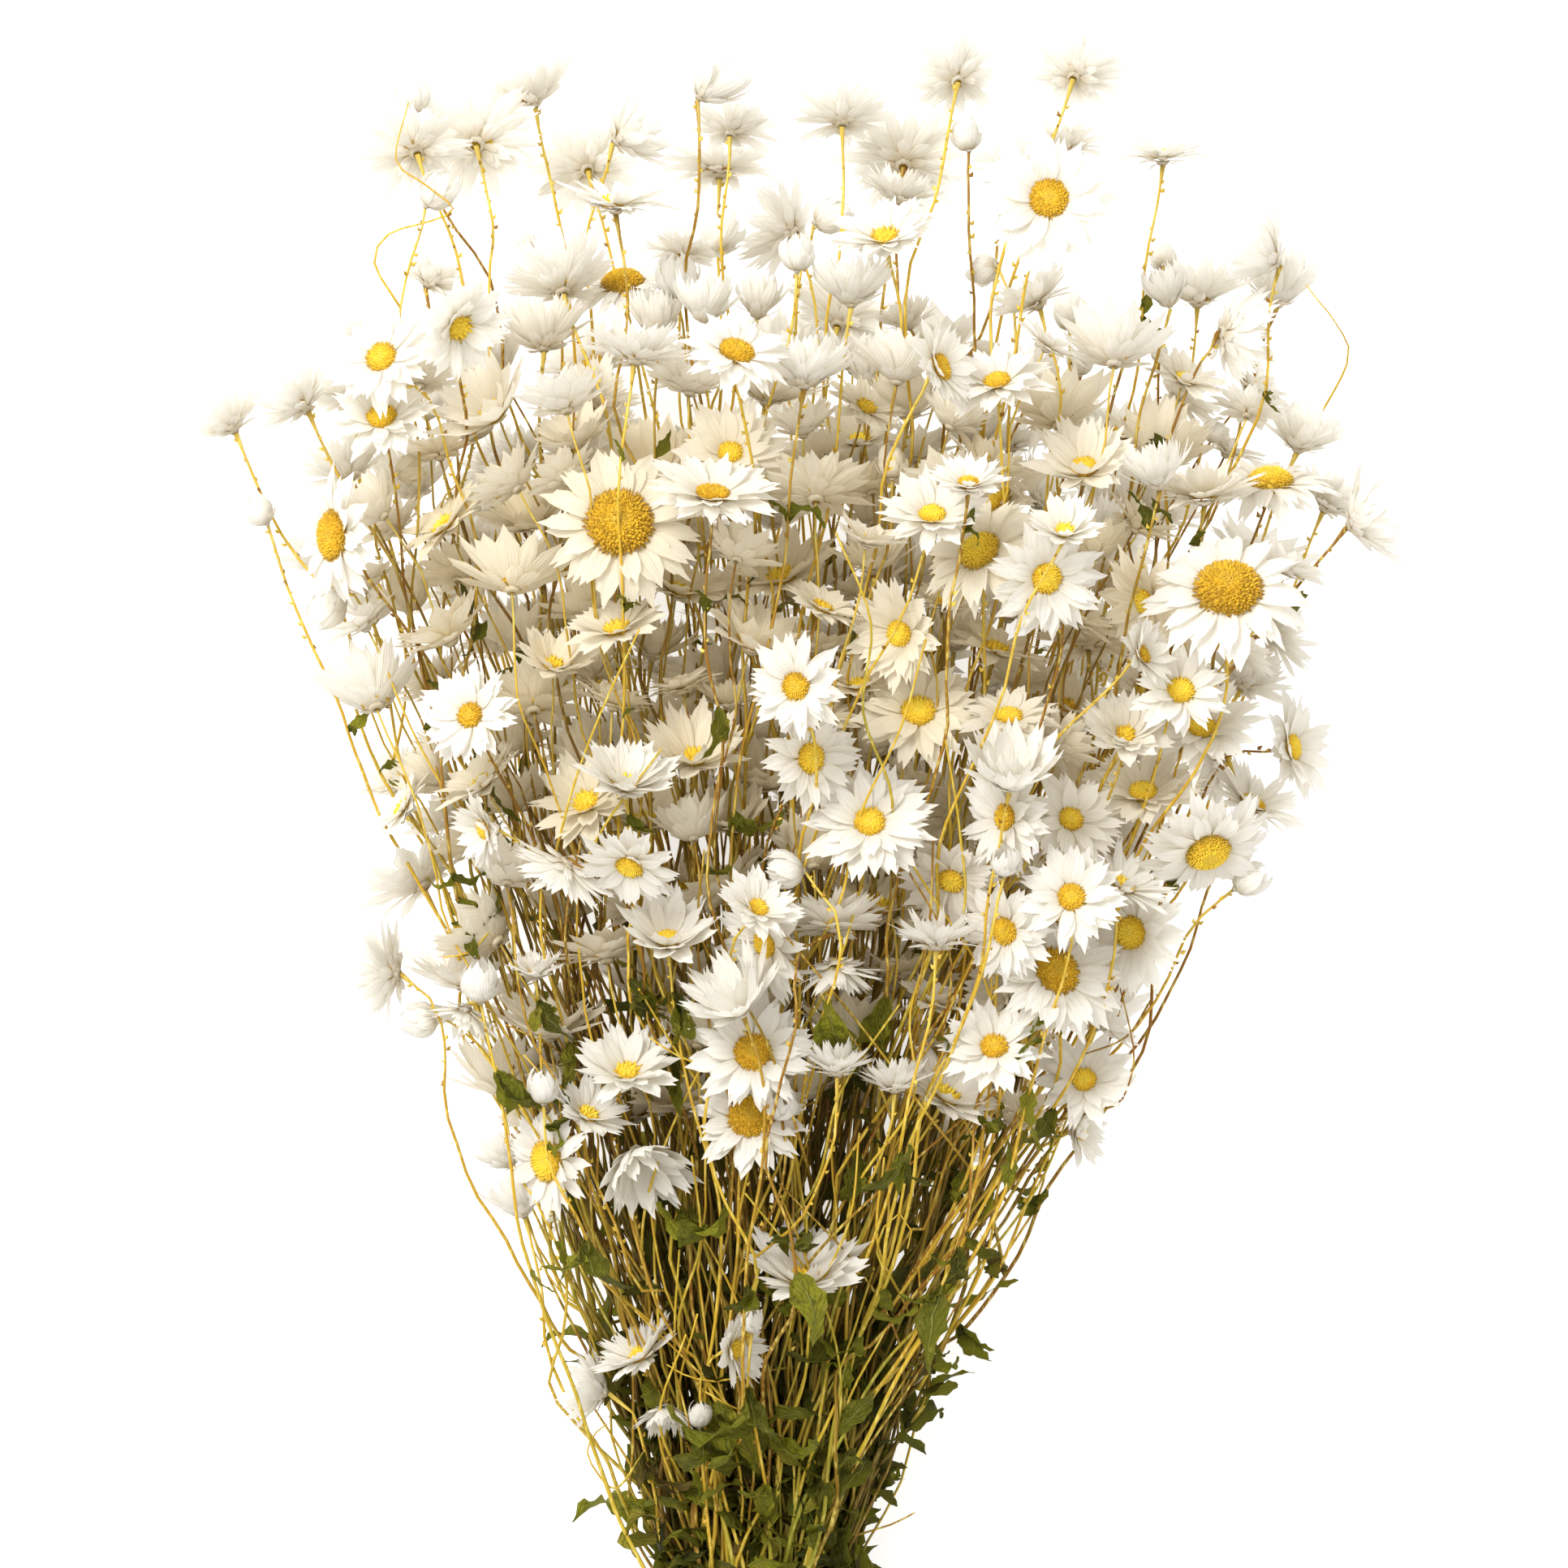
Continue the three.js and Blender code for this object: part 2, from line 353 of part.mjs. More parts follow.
function routeMain(spray, draw) {
  const main = spray.heads[0];
  const root = { at: spray.root.clone(), fixed: true, radius: STEM_RADIUS };
  const cutEnd = vec(
    CUT_FLARE * spray.root.x,
    -CUT_LENGTH + CUT_UNEVENNESS * (draw() - 0.5),
    Math.max(LOWEST_STEM, TIE_HEIGHT + CUT_FLARE * (spray.root.z - TIE_HEIGHT)),
  );
  const points = [{ at: cutEnd, fixed: true, radius: STEM_RADIUS }, root];
  const way = vec(0.45 * main.lean, 1, 0.45 * main.steep).normalize();
  const curve = stemCurve(spray.root, way, main, MAIN_BEND);
  for (const t of MAIN_STEPS) {
    const radius = THREE.MathUtils.lerp(STEM_RADIUS, STEM_TIP_RADIUS, Math.min(1, 1.6 * t));
    points.push({ at: curve.getPoint(t), fixed: t === 1, radius });
  }
  spray.routes.push({ points, head: main, branch: false });
}

// A branch starts in the middle of one of the main stem's stretches, as a point
function routeBranch(spray, head, index) {
  const trunk = spray.routes[0].points;
  const wanted = (0.4 + 0.06 * index) * head.foot.y;
  let stretch = 1;
  for (let k = 1; k < trunk.length - 2; k += 1) {
    const middle = 0.5 * (trunk[k].at.y + trunk[k + 1].at.y);
    const best = 0.5 * (trunk[stretch].at.y + trunk[stretch + 1].at.y);
    if (Math.abs(middle - wanted) < Math.abs(best - wanted)) stretch = k;
  }
  const [from, to] = [trunk[stretch], trunk[stretch + 1]];
  const share = 0.3 + 0.2 * index;
  const start = { at: from.at.clone().lerp(to.at, share), fixed: true, radius: 0, from, to, share };
  const along = to.at.clone().sub(from.at).normalize();
  const toward = head.foot.clone().sub(start.at);
  toward.addScaledVector(along, -toward.dot(along)).normalize();
  const clear = start.at.clone().addScaledVector(along, BRANCH_RUN).addScaledVector(toward, BRANCH_RISE);
  const points = [start, { at: clear, fixed: false, radius: BRANCH_RADIUS }];
  const way = clear.clone().sub(start.at).normalize();
  const curve = stemCurve(clear, way, head, BRANCH_BEND);
  for (const t of BRANCH_STEPS) points.push({ at: curve.getPoint(t), fixed: t === 1, radius: BRANCH_RADIUS });
  spray.routes.push({ points, head, branch: true });
}

function routeSprays(sprays) {
  const draw = seeded(733);
  for (const spray of sprays) {
    routeMain(spray, draw);
    spray.heads.slice(1).forEach((head, index) => routeBranch(spray, head, index));
  }
}

// The closest places of two straight stretches, as shares along each
function closest(p0, p1, q0, q1) {
  const [ux, uy, uz] = [p1.x - p0.x, p1.y - p0.y, p1.z - p0.z];
  const [vx, vy, vz] = [q1.x - q0.x, q1.y - q0.y, q1.z - q0.z];
  const [wx, wy, wz] = [p0.x - q0.x, p0.y - q0.y, p0.z - q0.z];
  const a = ux * ux + uy * uy + uz * uz;
  const b = ux * vx + uy * vy + uz * vz;
  const c = ux * wx + uy * wy + uz * wz;
  const e = vx * vx + vy * vy + vz * vz;
  const f = vx * wx + vy * wy + vz * wz;
  const spread = a * e - b * b;
  let s = spread > 1e-9 ? clamp((b * f - c * e) / spread, 0, 1) : 0;
  let t = (b * s + f) / e;
  if (t < 0 || t > 1) {
    t = clamp(t, 0, 1);
    s = clamp((b * t - c) / a, 0, 1);
  }
  return [s, t];
}

const spotA = vec(0, 0, 0);
const spotB = vec(0, 0, 0);

// The distance of two straight stretches; spotA and spotB are left at its ends
function apartOf(p0, p1, q0, q1) {
  const [s, t] = closest(p0, p1, q0, q1);
  spotA.lerpVectors(p0, p1, s);
  spotB.lerpVectors(q0, q1, t);
  return { apart: spotA.distanceTo(spotB), s, t };
}

function shift(stretch, share, way, amount) {
  const [from, to] = stretch.ends;
  if (!from.fixed) from.at.addScaledVector(way, amount * (1 - share) * 1.3);
  if (!to.fixed) to.at.addScaledVector(way, amount * share * 1.3);
}

const CLEARING_ROUNDS = 90;

function stretchesOf(sprays) {
  const stretches = [];
  sprays.forEach((spray, owner) => {
    for (const route of spray.routes) {
      for (let k = 1; k < route.points.length; k += 1) {
        const ends = [route.points[k - 1], route.points[k]];
        stretches.push({ owner, route, joint: route.branch && k === 1, ends, box: new THREE.Box3() });
      }
    }
    for (const head of spray.heads) head.owner = owner;
  });
  return stretches;
}

function thickness(stretch) {
  return Math.max(stretch.ends[0].radius, stretch.ends[1].radius);
}

function mayTouch(a, b) {
  if (a.owner !== b.owner) return false;
  return a.route === b.route || a.joint || b.joint;
}

function partStems(a, b) {
  const { apart, s, t } = apartOf(a.ends[0].at, a.ends[1].at, b.ends[0].at, b.ends[1].at);
  const need = thickness(a) + thickness(b) + STEM_CLEARANCE;
  if (apart >= need) return;
  const way = spotB.clone().sub(spotA);
  if (apart < 1e-4) way.set(0, 0, 1);
  else way.divideScalar(apart);
  shift(a, s, way, -0.5 * (need - apart));
  shift(b, t, way, 0.5 * (need - apart));
}

const ROOM_MARGIN = 1.9; // a stem's thickness and a little air

// The room that a head's disc and petal bases take: a flat or long round body
function headRoom(head) {
  const across = head.bud ? 0.42 * head.size : 0.5 * head.petal * Math.sin(head.petalAngle) + 0.16 * head.size;
  const along = head.bud ? 0.55 * head.size : 0.26 * head.petal * Math.cos(head.petalAngle) + 3.2;
  const middle = head.bud ? 0.5 * head.size : 0.24 * head.petal * Math.cos(head.petalAngle) + 0.4;
  const core = head.foot.clone().addScaledVector(head.face, middle);
  return { head, core, face: head.face, across: across + ROOM_MARGIN, along: Math.abs(along) + ROOM_MARGIN };
}

const spotC = vec(0, 0, 0);
const spotD = vec(0, 0, 0);

// A spot seen from a head's core, stretched so that the head's room is a ball
function stretched(spot, room, target) {
  target.subVectors(spot, room.core);
  const along = target.dot(room.face);
  return target.addScaledVector(room.face, along * (room.across / room.along - 1));
}

function passHead(stretch, room, share) {
  if (stretch.box.distanceToPoint(room.core) > Math.max(room.across, room.along)) return;
  const p = stretched(stretch.ends[0].at, room, spotC);
  const q = stretched(stretch.ends[1].at, room, spotD);
  const way = q.clone().sub(p);
  const s = clamp(-p.dot(way) / way.lengthSq(), 0, 1);
  way.multiplyScalar(s).add(p);
  const apart = way.length();
  if (apart >= room.across || apart < 1e-4) return;
  const along = way.dot(room.face);
  way.addScaledVector(room.face, along * (room.across / room.along - 1));
  shift(stretch, s, way.normalize(), share * (room.across - apart) * Math.min(1, room.along / room.across));
}

const NEAREST_BOXES = 3.6; // stretches whose boxes are further apart can't touch
const FLOOR_GAP = 0.6; // kept under a stem

// Stems are bent clear of the other sprays' stems and of every other head
function clearStems(sprays, heads) {
  const stretches = stretchesOf(sprays);
  const rooms = heads.map(headRoom);
  for (let round = 0; round < CLEARING_ROUNDS; round += 1) {
    for (const stretch of stretches) {
      const [from, to] = stretch.ends;
      if (from.from) from.at.lerpVectors(from.from.at, from.to.at, from.share);
      for (const end of stretch.ends) {
        if (!end.fixed) end.at.z = Math.max(end.at.z, end.radius + FLOOR_GAP);
      }
      stretch.box.setFromPoints([from.at, to.at]);
    }
    for (let i = 0; i < stretches.length; i += 1) {
      const a = stretches[i];
      const near = a.box.clone().expandByScalar(NEAREST_BOXES);
      for (let j = i + 1; j < stretches.length; j += 1) {
        if (!near.intersectsBox(stretches[j].box) || mayTouch(a, stretches[j])) continue;
        partStems(a, stretches[j]);
      }
      for (const room of rooms) {
        if (a.route.head !== room.head) passHead(a, room, 0.6);
      }
    }
  }
  return stretches;
}

// Solids are gathered as plain lists of corners and triangles
class Shape {
  constructor() {
    this.corners = [];
    this.faces = [];
  }

  corner(point) {
    this.corners.push(point.clone());
    return this.corners.length - 1;
  }

  ring(count, place) {
    return Array.from({ length: count }, (_, k) => this.corner(place(k)));
  }

  face(a, b, c) {
    this.faces.push([a, b, c]);
  }

  // Joins two rings that turn the same way, the second one ahead along the axis
  band(low, high) {
    const n = low.length;
    const m = high.length;
    let i = 0;
    let j = 0;
    while (i < n || j < m) {
      if (j === m || (i < n && (i + 1) / n <= (j + 1) / m)) {
        this.face(low[i % n], low[(i + 1) % n], high[j % m]);
        i += 1;
      } else {
        this.face(low[i % n], high[(j + 1) % m], high[j % m]);
        j += 1;
      }
    }
  }

  fan(ring, tip, outward) {
    ring.forEach((corner, k) => {
      const next = ring[(k + 1) % ring.length];
      if (outward) this.face(corner, next, tip);
      else this.face(next, corner, tip);
    });
  }

  solid() {
    const vertProperties = new Float32Array(this.corners.flatMap((corner) => corner.toArray()));
    const triVerts = new Uint32Array(this.faces.flat());
    return new wasm.Manifold(new wasm.Mesh({ numProp: 3, vertProperties, triVerts }));
  }

  box() {
    return new THREE.Box3().setFromPoints(this.corners);
  }
}

const STEM_SIDES = 3;
const BUD_SIDES = 5;
const BAND_SIDES = 16;

function axes(along, hint) {
  const u = hint.clone().addScaledVector(along, -hint.dot(along)).normalize();
  return [u, along.clone().cross(u)];
}

function around(centre, u, w, radius, share) {
  const turn = 2 * Math.PI * share;
  return centre.clone().addScaledVector(u, radius * Math.cos(turn)).addScaledVector(w, radius * Math.sin(turn));
}

const SHARP_ARRIVAL = 0.3; // cosine of the turn from a stem to its head's axis

// The way that a stem's end faces: its head's, or halfway to it after a sharp turn
function endWay(before, at, face) {
  const arriving = at.clone().sub(before).normalize();
  return arriving.dot(face) < SHARP_ARRIVAL ? arriving.add(face).normalize() : face.clone();
}

// A stem as a three-sided tube, open at its head's end; a branch starts as a point
function stemTube(route, extra) {
  const shape = new Shape();
  const points = route.points;
  const last = points.length - 1;
  let hint = vec(0, 0, 1);
  let ring = null;
  points.forEach((point, k) => {
    const before = points[Math.max(0, k - 1)].at;
    const after = points[Math.min(last, k + 1)].at;
    const along = k === last ? endWay(before, point.at, route.head.face) : after.clone().sub(before).normalize();
    const [u, w] = axes(along, hint);
    hint = u;
    if (k === 0 && route.branch) return;
    const grow = k === last ? 1.25 : 1;
    const radius = point.radius * grow + extra;
    const here = shape.ring(STEM_SIDES, (n) => around(point.at, u, w, radius, n / STEM_SIDES));
    if (ring) shape.band(ring, here);
    else if (route.branch) shape.fan(here, shape.corner(points[0].at), false);
    else shape.face(here[2], here[1], here[0]);
    ring = here;
  });
  return { shape, ring, hint };
}

function stemWithHead(route) {
  const { shape, ring, hint } = stemTube(route, 0);
  addHead(shape, ring, route.head, hint);
  return shape;
}

// The stem alone, grown to cut what comes near it
function stemCutter(route, gap) {
  const { shape, ring } = stemTube(route, 2 * gap);
  shape.face(ring[0], ring[1], ring[2]);
  return shape;
}

function addHead(shape, neck, head, hint) {
  const [u, w] = axes(head.face, hint);
  if (head.bud) addBud(shape, neck, head, u, w);
  else addFlower(shape, neck, head, u, w);
}

// A closed or barely open head: an egg on its stem
function addBud(shape, neck, head, u, w) {
  const radius = head.size * (head.open < 0.05 ? 0.46 : 0.34);
  const at = (share) => head.foot.clone().addScaledVector(head.face, share * head.size);
  const low = shape.ring(BUD_SIDES, (n) => around(at(0.27), u, w, radius, n / BUD_SIDES));
  const high = shape.ring(BUD_SIDES, (n) => around(at(0.7), u, w, 0.78 * radius, (n + 0.5) / BUD_SIDES));
  const tip = shape.corner(at(1));
  shape.band(neck, low);
  shape.band(low, high);
  shape.fan(high, tip, true);
}

const petalCount = (head) => (head.size > 26 ? 7 : 6);

// The corners of an open head. A petal's ridge runs from the disc's rim to its tip,
// or from the head's middle where the disc doesn't show, and the notches between
// petals lie behind the ridges, which makes them thick. Every second petal belongs
// to the inner layer, shorter and more upright.
function flowerCorners(head, u, w) {
  const count = petalCount(head);
  const disc = clamp(head.disc / 2, 0.15 * head.size, 0.3 * head.size);
  const dome = (head.open > BENT_BACK ? HIGH_DOME_SHARE : DOME_SHARE) * disc;
  const facingDown = head.face.z < 0;
  const place = (share, radius, height, floor) => {
    const spot = around(head.foot.clone().addScaledVector(head.face, height), u, w, radius, share);
    spot.z = Math.max(spot.z, floor);
    return spot;
  };
  const ridge = (angle, length) => [0.7 * disc + length * Math.sin(angle), SEAT_HEIGHT + length * Math.cos(angle)];
  const notchAngle = head.petalAngle + 0.06;
  const [ridgeRadius, ridgeHeight] = ridge(notchAngle, NOTCH_SHARE * head.petal);
  const sag = ridgeRadius * (1 / Math.cos(Math.PI / count) - 1) * Math.cos(notchAngle);
  const out = PETAL_THICKNESS + Math.max(0, sag);
  const notchRadius = ridgeRadius + out * Math.cos(notchAngle);
  const notchHeight = ridgeHeight - out * Math.sin(notchAngle);
  const frontFloor = facingDown ? 0 : 1.1;
  const rim = [];
  const notches = [];
  for (let k = 0; k < count; k += 1) {
    if (head.disc > 0) rim.push(place((k + 0.5) / count, disc, RIM_HEIGHT, frontFloor));
    notches.push(place(k / count, notchRadius, notchHeight, facingDown ? PETAL_THICKNESS : 0));
  }
  const tip = (k, grown) => {
    const inner = k % 2 === 1 && k < count - 1;
    const length = head.petal * Math.max(SHORTEST, grown * (inner ? INNER_LENGTH : 1));
    const [radius, height] = ridge(head.petalAngle - (inner ? INNER_LIFT : -OUTER_DROP), length);
    return place((k + 0.5) / count, radius, height, 0);
  };
  const top = place(0, 0, RIM_HEIGHT + (head.disc > 0 ? dome : 0), frontFloor);
  return { count, rim, notches, tip, top };
}

function addFlower(shape, neck, head, u, w) {
  const { count, rim, notches, tip, top } = flowerCorners(head, u, w);
  const middle = shape.corner(top);
  const rimRing = rim.map((spot) => shape.corner(spot));
  const notchRing = notches.map((spot) => shape.corner(spot));
  for (let k = 0; k < count; k += 1) {
    const next = (k + 1) % count;
    const end = shape.corner(tip(k, head.grown[k]));
    const base = rimRing.length ? rimRing[k] : middle;
    shape.face(base, notchRing[k], end);
    shape.face(base, end, notchRing[next]);
    shape.face(notchRing[next], end, notchRing[k]);
    if (rimRing.length) shape.face(base, notchRing[next], rimRing[next]);
  }
  shape.fan(rimRing, middle, true);
  shape.band(neck, notchRing);
}

// Whether a straight stretch goes through a triangle
function pierces(p, q, [a, b, c]) {
  const side = (d, e, f, g) => {
    const [x1, y1, z1] = [e.x - d.x, e.y - d.y, e.z - d.z];
    const [x2, y2, z2] = [f.x - d.x, f.y - d.y, f.z - d.z];
    const [x3, y3, z3] = [g.x - d.x, g.y - d.y, g.z - d.z];
    return x1 * (y2 * z3 - z2 * y3) - y1 * (x2 * z3 - z2 * x3) + z1 * (x2 * y3 - y2 * x3);
  };
  if (side(p, a, b, c) * side(q, a, b, c) > 0) return false;
  const turns = [side(p, q, a, b), side(p, q, b, c), side(p, q, c, a)];
  return turns.every((turn) => turn > 0) || turns.every((turn) => turn < 0);
}

function stretchNear(p, q, triangle, need) {
  if (pierces(p, q, triangle)) return true;
  const [a, b, c] = triangle;
  return [[a, b], [b, c], [c, a]].some(([d, e]) => apartOf(p, q, d, e).apart < need);
}

function trianglesNear(one, other, need) {
  const edges = ([a, b, c]) => [[a, b], [b, c], [c, a]];
  return edges(one).some(([p, q]) => stretchNear(p, q, other, need))
    || edges(other).some(([p, q]) => pierces(p, q, one));
}

const PETAL_STEP = 0.08; // by which it is kept shorter at a time
const PETAL_AIR = 0.9; // kept from a petal's middle plane to a stem,
const PETAL_PAIR_AIR = 1.3; // and to another petal's

// Each petal is as long as the stems and the heads in front of it leave room for
function fitPetals(sprays, stretches) {
  const flowers = [];
  for (const spray of sprays) {
    for (const route of spray.routes) {
      if (route.head.bud) continue;
      const { hint } = stemTube(route, 0);
      const [u, w] = axes(route.head.face, hint);
      flowers.push({ route, head: route.head, ...flowerCorners(route.head, u, w), petals: [] });
    }
  }
  flowers.sort((a, b) => b.head.middle.z - a.head.middle.z);
  flowers.forEach((flower, rank) => {
    const { head, route } = flower;
    const zone = new THREE.Sphere(head.foot, head.petal + 6);
    const stems = stretches.filter((stretch) => stretch.route !== route && zone.intersectsBox(stretch.box));
    const others = flowers.slice(0, rank).filter((other) => {
      return other.head.foot.distanceTo(head.foot) < FARTHEST_NEIGHBOUR + 4;
    });
    const blocked = (petal) => stems.some((stretch) => {
      return stretchNear(stretch.ends[0].at, stretch.ends[1].at, petal, thickness(stretch) + PETAL_AIR);
    }) || others.some((other) => other.petals.some((shut) => trianglesNear(petal, shut, PETAL_PAIR_AIR)));
    head.grown = flower.notches.map((_, k) => {
      const next = (k + 1) % flower.count;
      let length = 1;
      const petal = () => [flower.notches[k], flower.notches[next], flower.tip(k, length)];
      while (length > SHORTEST && blocked(petal())) length = Math.max(SHORTEST, length - PETAL_STEP);
      flower.petals.push(petal(), [flower.top, flower.notches[k], flower.notches[next]]);
      return length;
    });
  });
}

const LEAF_ARCH = 0.1; // of a leaf's length, its middle's rise
const LEAF_DROOP = 0.12; // and its tip's fall

// A waved leaf blade of lens section, split alike on both faces
function leafShape(base, way, up, length, width, wave) {
  const shape = new Shape();
  const side = way.clone().cross(up).normalize();
  const face = side.clone().cross(way).normalize();
  const at = (share, across, high) => base.clone()
    .addScaledVector(way, share * length)
    .addScaledVector(side, across)
    .addScaledVector(face, high);
  const stations = [[0.34, 0.5 * width, wave], [0.7, 0.4 * width, -wave]];
  const foot = shape.corner(at(0, 0, 0));
  const tip = shape.corner(at(1, 0, -LEAF_DROOP * length));
  const rows = stations.map(([share, half, rise]) => ({
    left: shape.corner(at(share, -half, rise)),
    right: shape.corner(at(share, half, -rise)),
    top: shape.corner(at(share, 0, LEAF_ARCH * length + 0.5 * LEAF_THICKNESS)),
    under: shape.corner(at(share, 0, LEAF_ARCH * length - 0.5 * LEAF_THICKNESS)),
  }));
  const [near, far] = rows;
  shape.face(foot, near.right, near.top);
  shape.face(foot, near.top, near.left);
  shape.face(foot, near.under, near.right);
  shape.face(foot, near.left, near.under);
  shape.face(near.right, far.right, far.top);
  shape.face(near.right, far.top, near.top);
  shape.face(near.top, far.top, far.left);
  shape.face(near.top, far.left, near.left);
  shape.face(near.right, far.under, far.right);
  shape.face(near.right, near.under, far.under);
  shape.face(near.under, far.left, far.under);
  shape.face(near.under, near.left, far.left);
  shape.face(far.right, tip, far.top);
  shape.face(far.top, tip, far.left);
  shape.face(far.under, tip, far.right);
  shape.face(far.left, tip, far.under);
  return shape;
}

const FRONT_FAVOUR = 0.22; // how much nearer a stem in front counts, per millimetre

// The stem nearest to a leaf's foot, the frontmost where several are
function leafSeat(sprays, x, y) {
  let best = null;
  sprays.forEach((spray, owner) => {
    for (const route of spray.routes) {
      for (let k = 1; k < route.points.length - 1; k += 1) {
        const a = route.points[k].at;
        const b = route.points[k + 1].at;
        for (const share of [0.15, 0.4, 0.65, 0.9]) {
          const spot = a.clone().lerp(b, share);
          const score = Math.hypot(spot.x - x, spot.y - y) - FRONT_FAVOUR * spot.z;
          if (!best || score < best.score) best = { score, spot, owner };
        }
      }
    }
  });
  return best;
}

function clears(solid, box, owner, others) {
  const near = box.clone().expandByScalar(CLEARANCE);
  return others.every((other) => {
    if (other.owner === owner || !near.intersectsBox(other.box)) return true;
    return solid.minGap(other.solid, CLEARANCE) >= CLEARANCE;
  });
}

// Each leaf is turned, moved along its stem or kept shorter until it is clear of
// the other sprays
function growLeaves(sprays, others) {
  const draw = seeded(9091);
  const grown = [];
  for (const [across, down, length, width, aim] of PICTURE_LEAVES) {
    const flat = facing(aim, 90);
    const x = (across - TIE_ACROSS) * PICTURE_SCALE - 0.5 * length * flat.x;
    const y = (TIE_DOWN - down) * PICTURE_SCALE - 0.5 * length * flat.y;
    for (let attempt = 0; attempt < LEAF_ATTEMPTS; attempt += 1) {
      const loose = attempt / LEAF_ATTEMPTS;
      const [astray, along] = [30 * loose * (draw() - 0.5), 60 * loose * (draw() - 0.5)];
      const { spot, owner } = leafSeat(sprays, x + astray, y + along);
      const way = facing(aim + (50 + 120 * loose) * (draw() - 0.5), 60 + 50 * draw());
      const up = facing(360 * draw(), 80 * draw());
      const size = 1 - 0.45 * loose;
      const wave = 0.16 * width * (draw() < 0.5 ? -1 : 1);
      const shape = leafShape(spot, way, up, size * length, size * width, wave * size);
      const leaf = { owner, box: shape.box(), solid: shape.solid() };
      if (leaf.box.min.z < 0.5 || !clears(leaf.solid, leaf.box, owner, others)) continue;
      grown.push(leaf);
      others.push(leaf);
      break;
    }
  }
  return grown;
}

// Trims a solid by everything of other sprays that reaches it
function trimmed(solid, box, owner, cutters) {
  let left = solid;
  for (const cutter of cutters) {
    if (cutter.owner === owner || !cutter.box.intersectsBox(box)) continue;
    if (left.intersect(cutter.solid).isEmpty()) continue;
    left = left.subtract(cutter.solid);
  }
  return left;
}

function cutterOf(shape, owner) {
  return { owner, box: shape.box(), solid: shape.solid() };
}

function boxOf(solid) {
  const { min, max } = solid.boundingBox();
  return new THREE.Box3(vec(...min), vec(...max));
}

function biggest(solid) {
  const pieces = solid.decompose();
  return pieces.reduce((best, piece) => (piece.volume() > best.volume() ? piece : best));
}

const LEAN_STEP = 0.35;

// A head with its stem. Until it is clear of the heads before it, its petals are
// kept shorter and it is leant a little to one side.
function growHead(route, owner, stems, before, draw) {
  const { head, points } = route;
  const end = points.at(-1);
  const home = head.foot.clone();
  let part = null;
  for (let attempt = 0; attempt < HEAD_ATTEMPTS; attempt += 1) {
    const whole = stemWithHead(route);
    const solid = trimmed(whole.solid(), whole.box(), owner, stems);
    part = { owner, box: boxOf(solid), solid };
    if (clears(solid, part.box, owner, before)) break;
    if (head.grown) head.grown = head.grown.map((length) => Math.max(SHORTEST, (1 - PETAL_STEP) * length));
    const lean = LEAN_STEP * (attempt + 1);
    head.foot.copy(home).add(vec(draw() - 0.5, draw() - 0.5, draw() - 0.5).multiplyScalar(lean));
    end.at.copy(head.foot);
  }
  return part;
}

// The body of each spray: its stems and heads, then its leaves
function sprayBodies(sprays) {
  const routes = sprays.flatMap((spray, owner) => spray.routes.map((route) => ({ owner, route })));
  const stems = routes.map(({ owner, route }) => cutterOf(stemCutter(route, CUT_GAP), owner));
  routes.sort((a, b) => b.route.head.middle.z - a.route.head.middle.z);
  const draw = seeded(52);
  const parts = [];
  for (const { owner, route } of routes) parts.push(growHead(route, owner, stems, parts, draw));
  const leaves = growLeaves(sprays, [...parts]);
  const pieces = sprays.map(() => []);
  for (const { owner, solid } of [...parts, ...leaves]) pieces[owner].push(solid);
  return pieces.map((own) => biggest(wasm.Manifold.union(own)));
}

// The rubber band: one ring whose outside shows its turns side by side
function bandShape() {
  const shape = new Shape();
  const halfX = TIE_HALF_WIDTH + BAND_CLEARANCE;
  const halfZ = TIE_HALF_DEPTH + BAND_CLEARANCE;
  const profile = [];
  const groove = GROOVE_SHARE * BAND_THICKNESS;
  for (let turn = 0; turn < BAND_TURNS; turn += 1) {
    const from = (turn / BAND_TURNS - 0.5) * BAND_WIDTH;
    profile.push([groove, from], [BAND_THICKNESS, from + (0.5 * BAND_WIDTH) / BAND_TURNS]);
  }
  profile.push([groove, 0.5 * BAND_WIDTH], [0, 0.5 * BAND_WIDTH], [0, -0.5 * BAND_WIDTH]);
  const rings = profile.map(([out, y]) => shape.ring(BAND_SIDES, (n) => {
    const turn = (2 * Math.PI * (n + 0.5)) / BAND_SIDES;
    const x = (halfX + out) * Math.cos(turn);
    const z = (halfZ + out) * Math.sin(turn) / Math.cos(Math.PI / BAND_SIDES);
    return vec(x, y, Math.max(0, TIE_HEIGHT + z));
  }));
  rings.forEach((ring, k) => shape.band(rings[(k + 1) % rings.length], ring));
  return shape;
}

function meshOf(solid, name, material) {
  const { vertProperties, triVerts } = solid.getMesh();
  const geometry = new THREE.BufferGeometry();
  geometry.setAttribute('position', new THREE.BufferAttribute(new Float32Array(vertProperties), 3));
  geometry.setIndex(new THREE.BufferAttribute(new Uint32Array(triVerts), 1));
  geometry.computeVertexNormals();
  const mesh = new THREE.Mesh(geometry, material);
  mesh.name = name;
  return mesh;
}

const petalWhite = new THREE.MeshStandardMaterial({ color: 0xefe9da, roughness: 0.75, metalness: 0 });
const latex = new THREE.MeshStandardMaterial({ color: 0xc9a86a, roughness: 0.6, metalness: 0 });

const heads = placeHeads();
spreadHeads(heads);
const sprays = gatherSprays(heads);
routeSprays(sprays);
const stretches = clearStems(sprays, heads);
fitPetals(sprays, stretches);
const bodies = sprayBodies(sprays);

const bunch = new THREE.Group();
bodies.forEach((body, k) => {
  bunch.add(meshOf(body, `spray_${String(k + 1).padStart(2, '0')}`, petalWhite.clone()));
});
bunch.add(meshOf(bandShape().solid(), 'tie', latex));

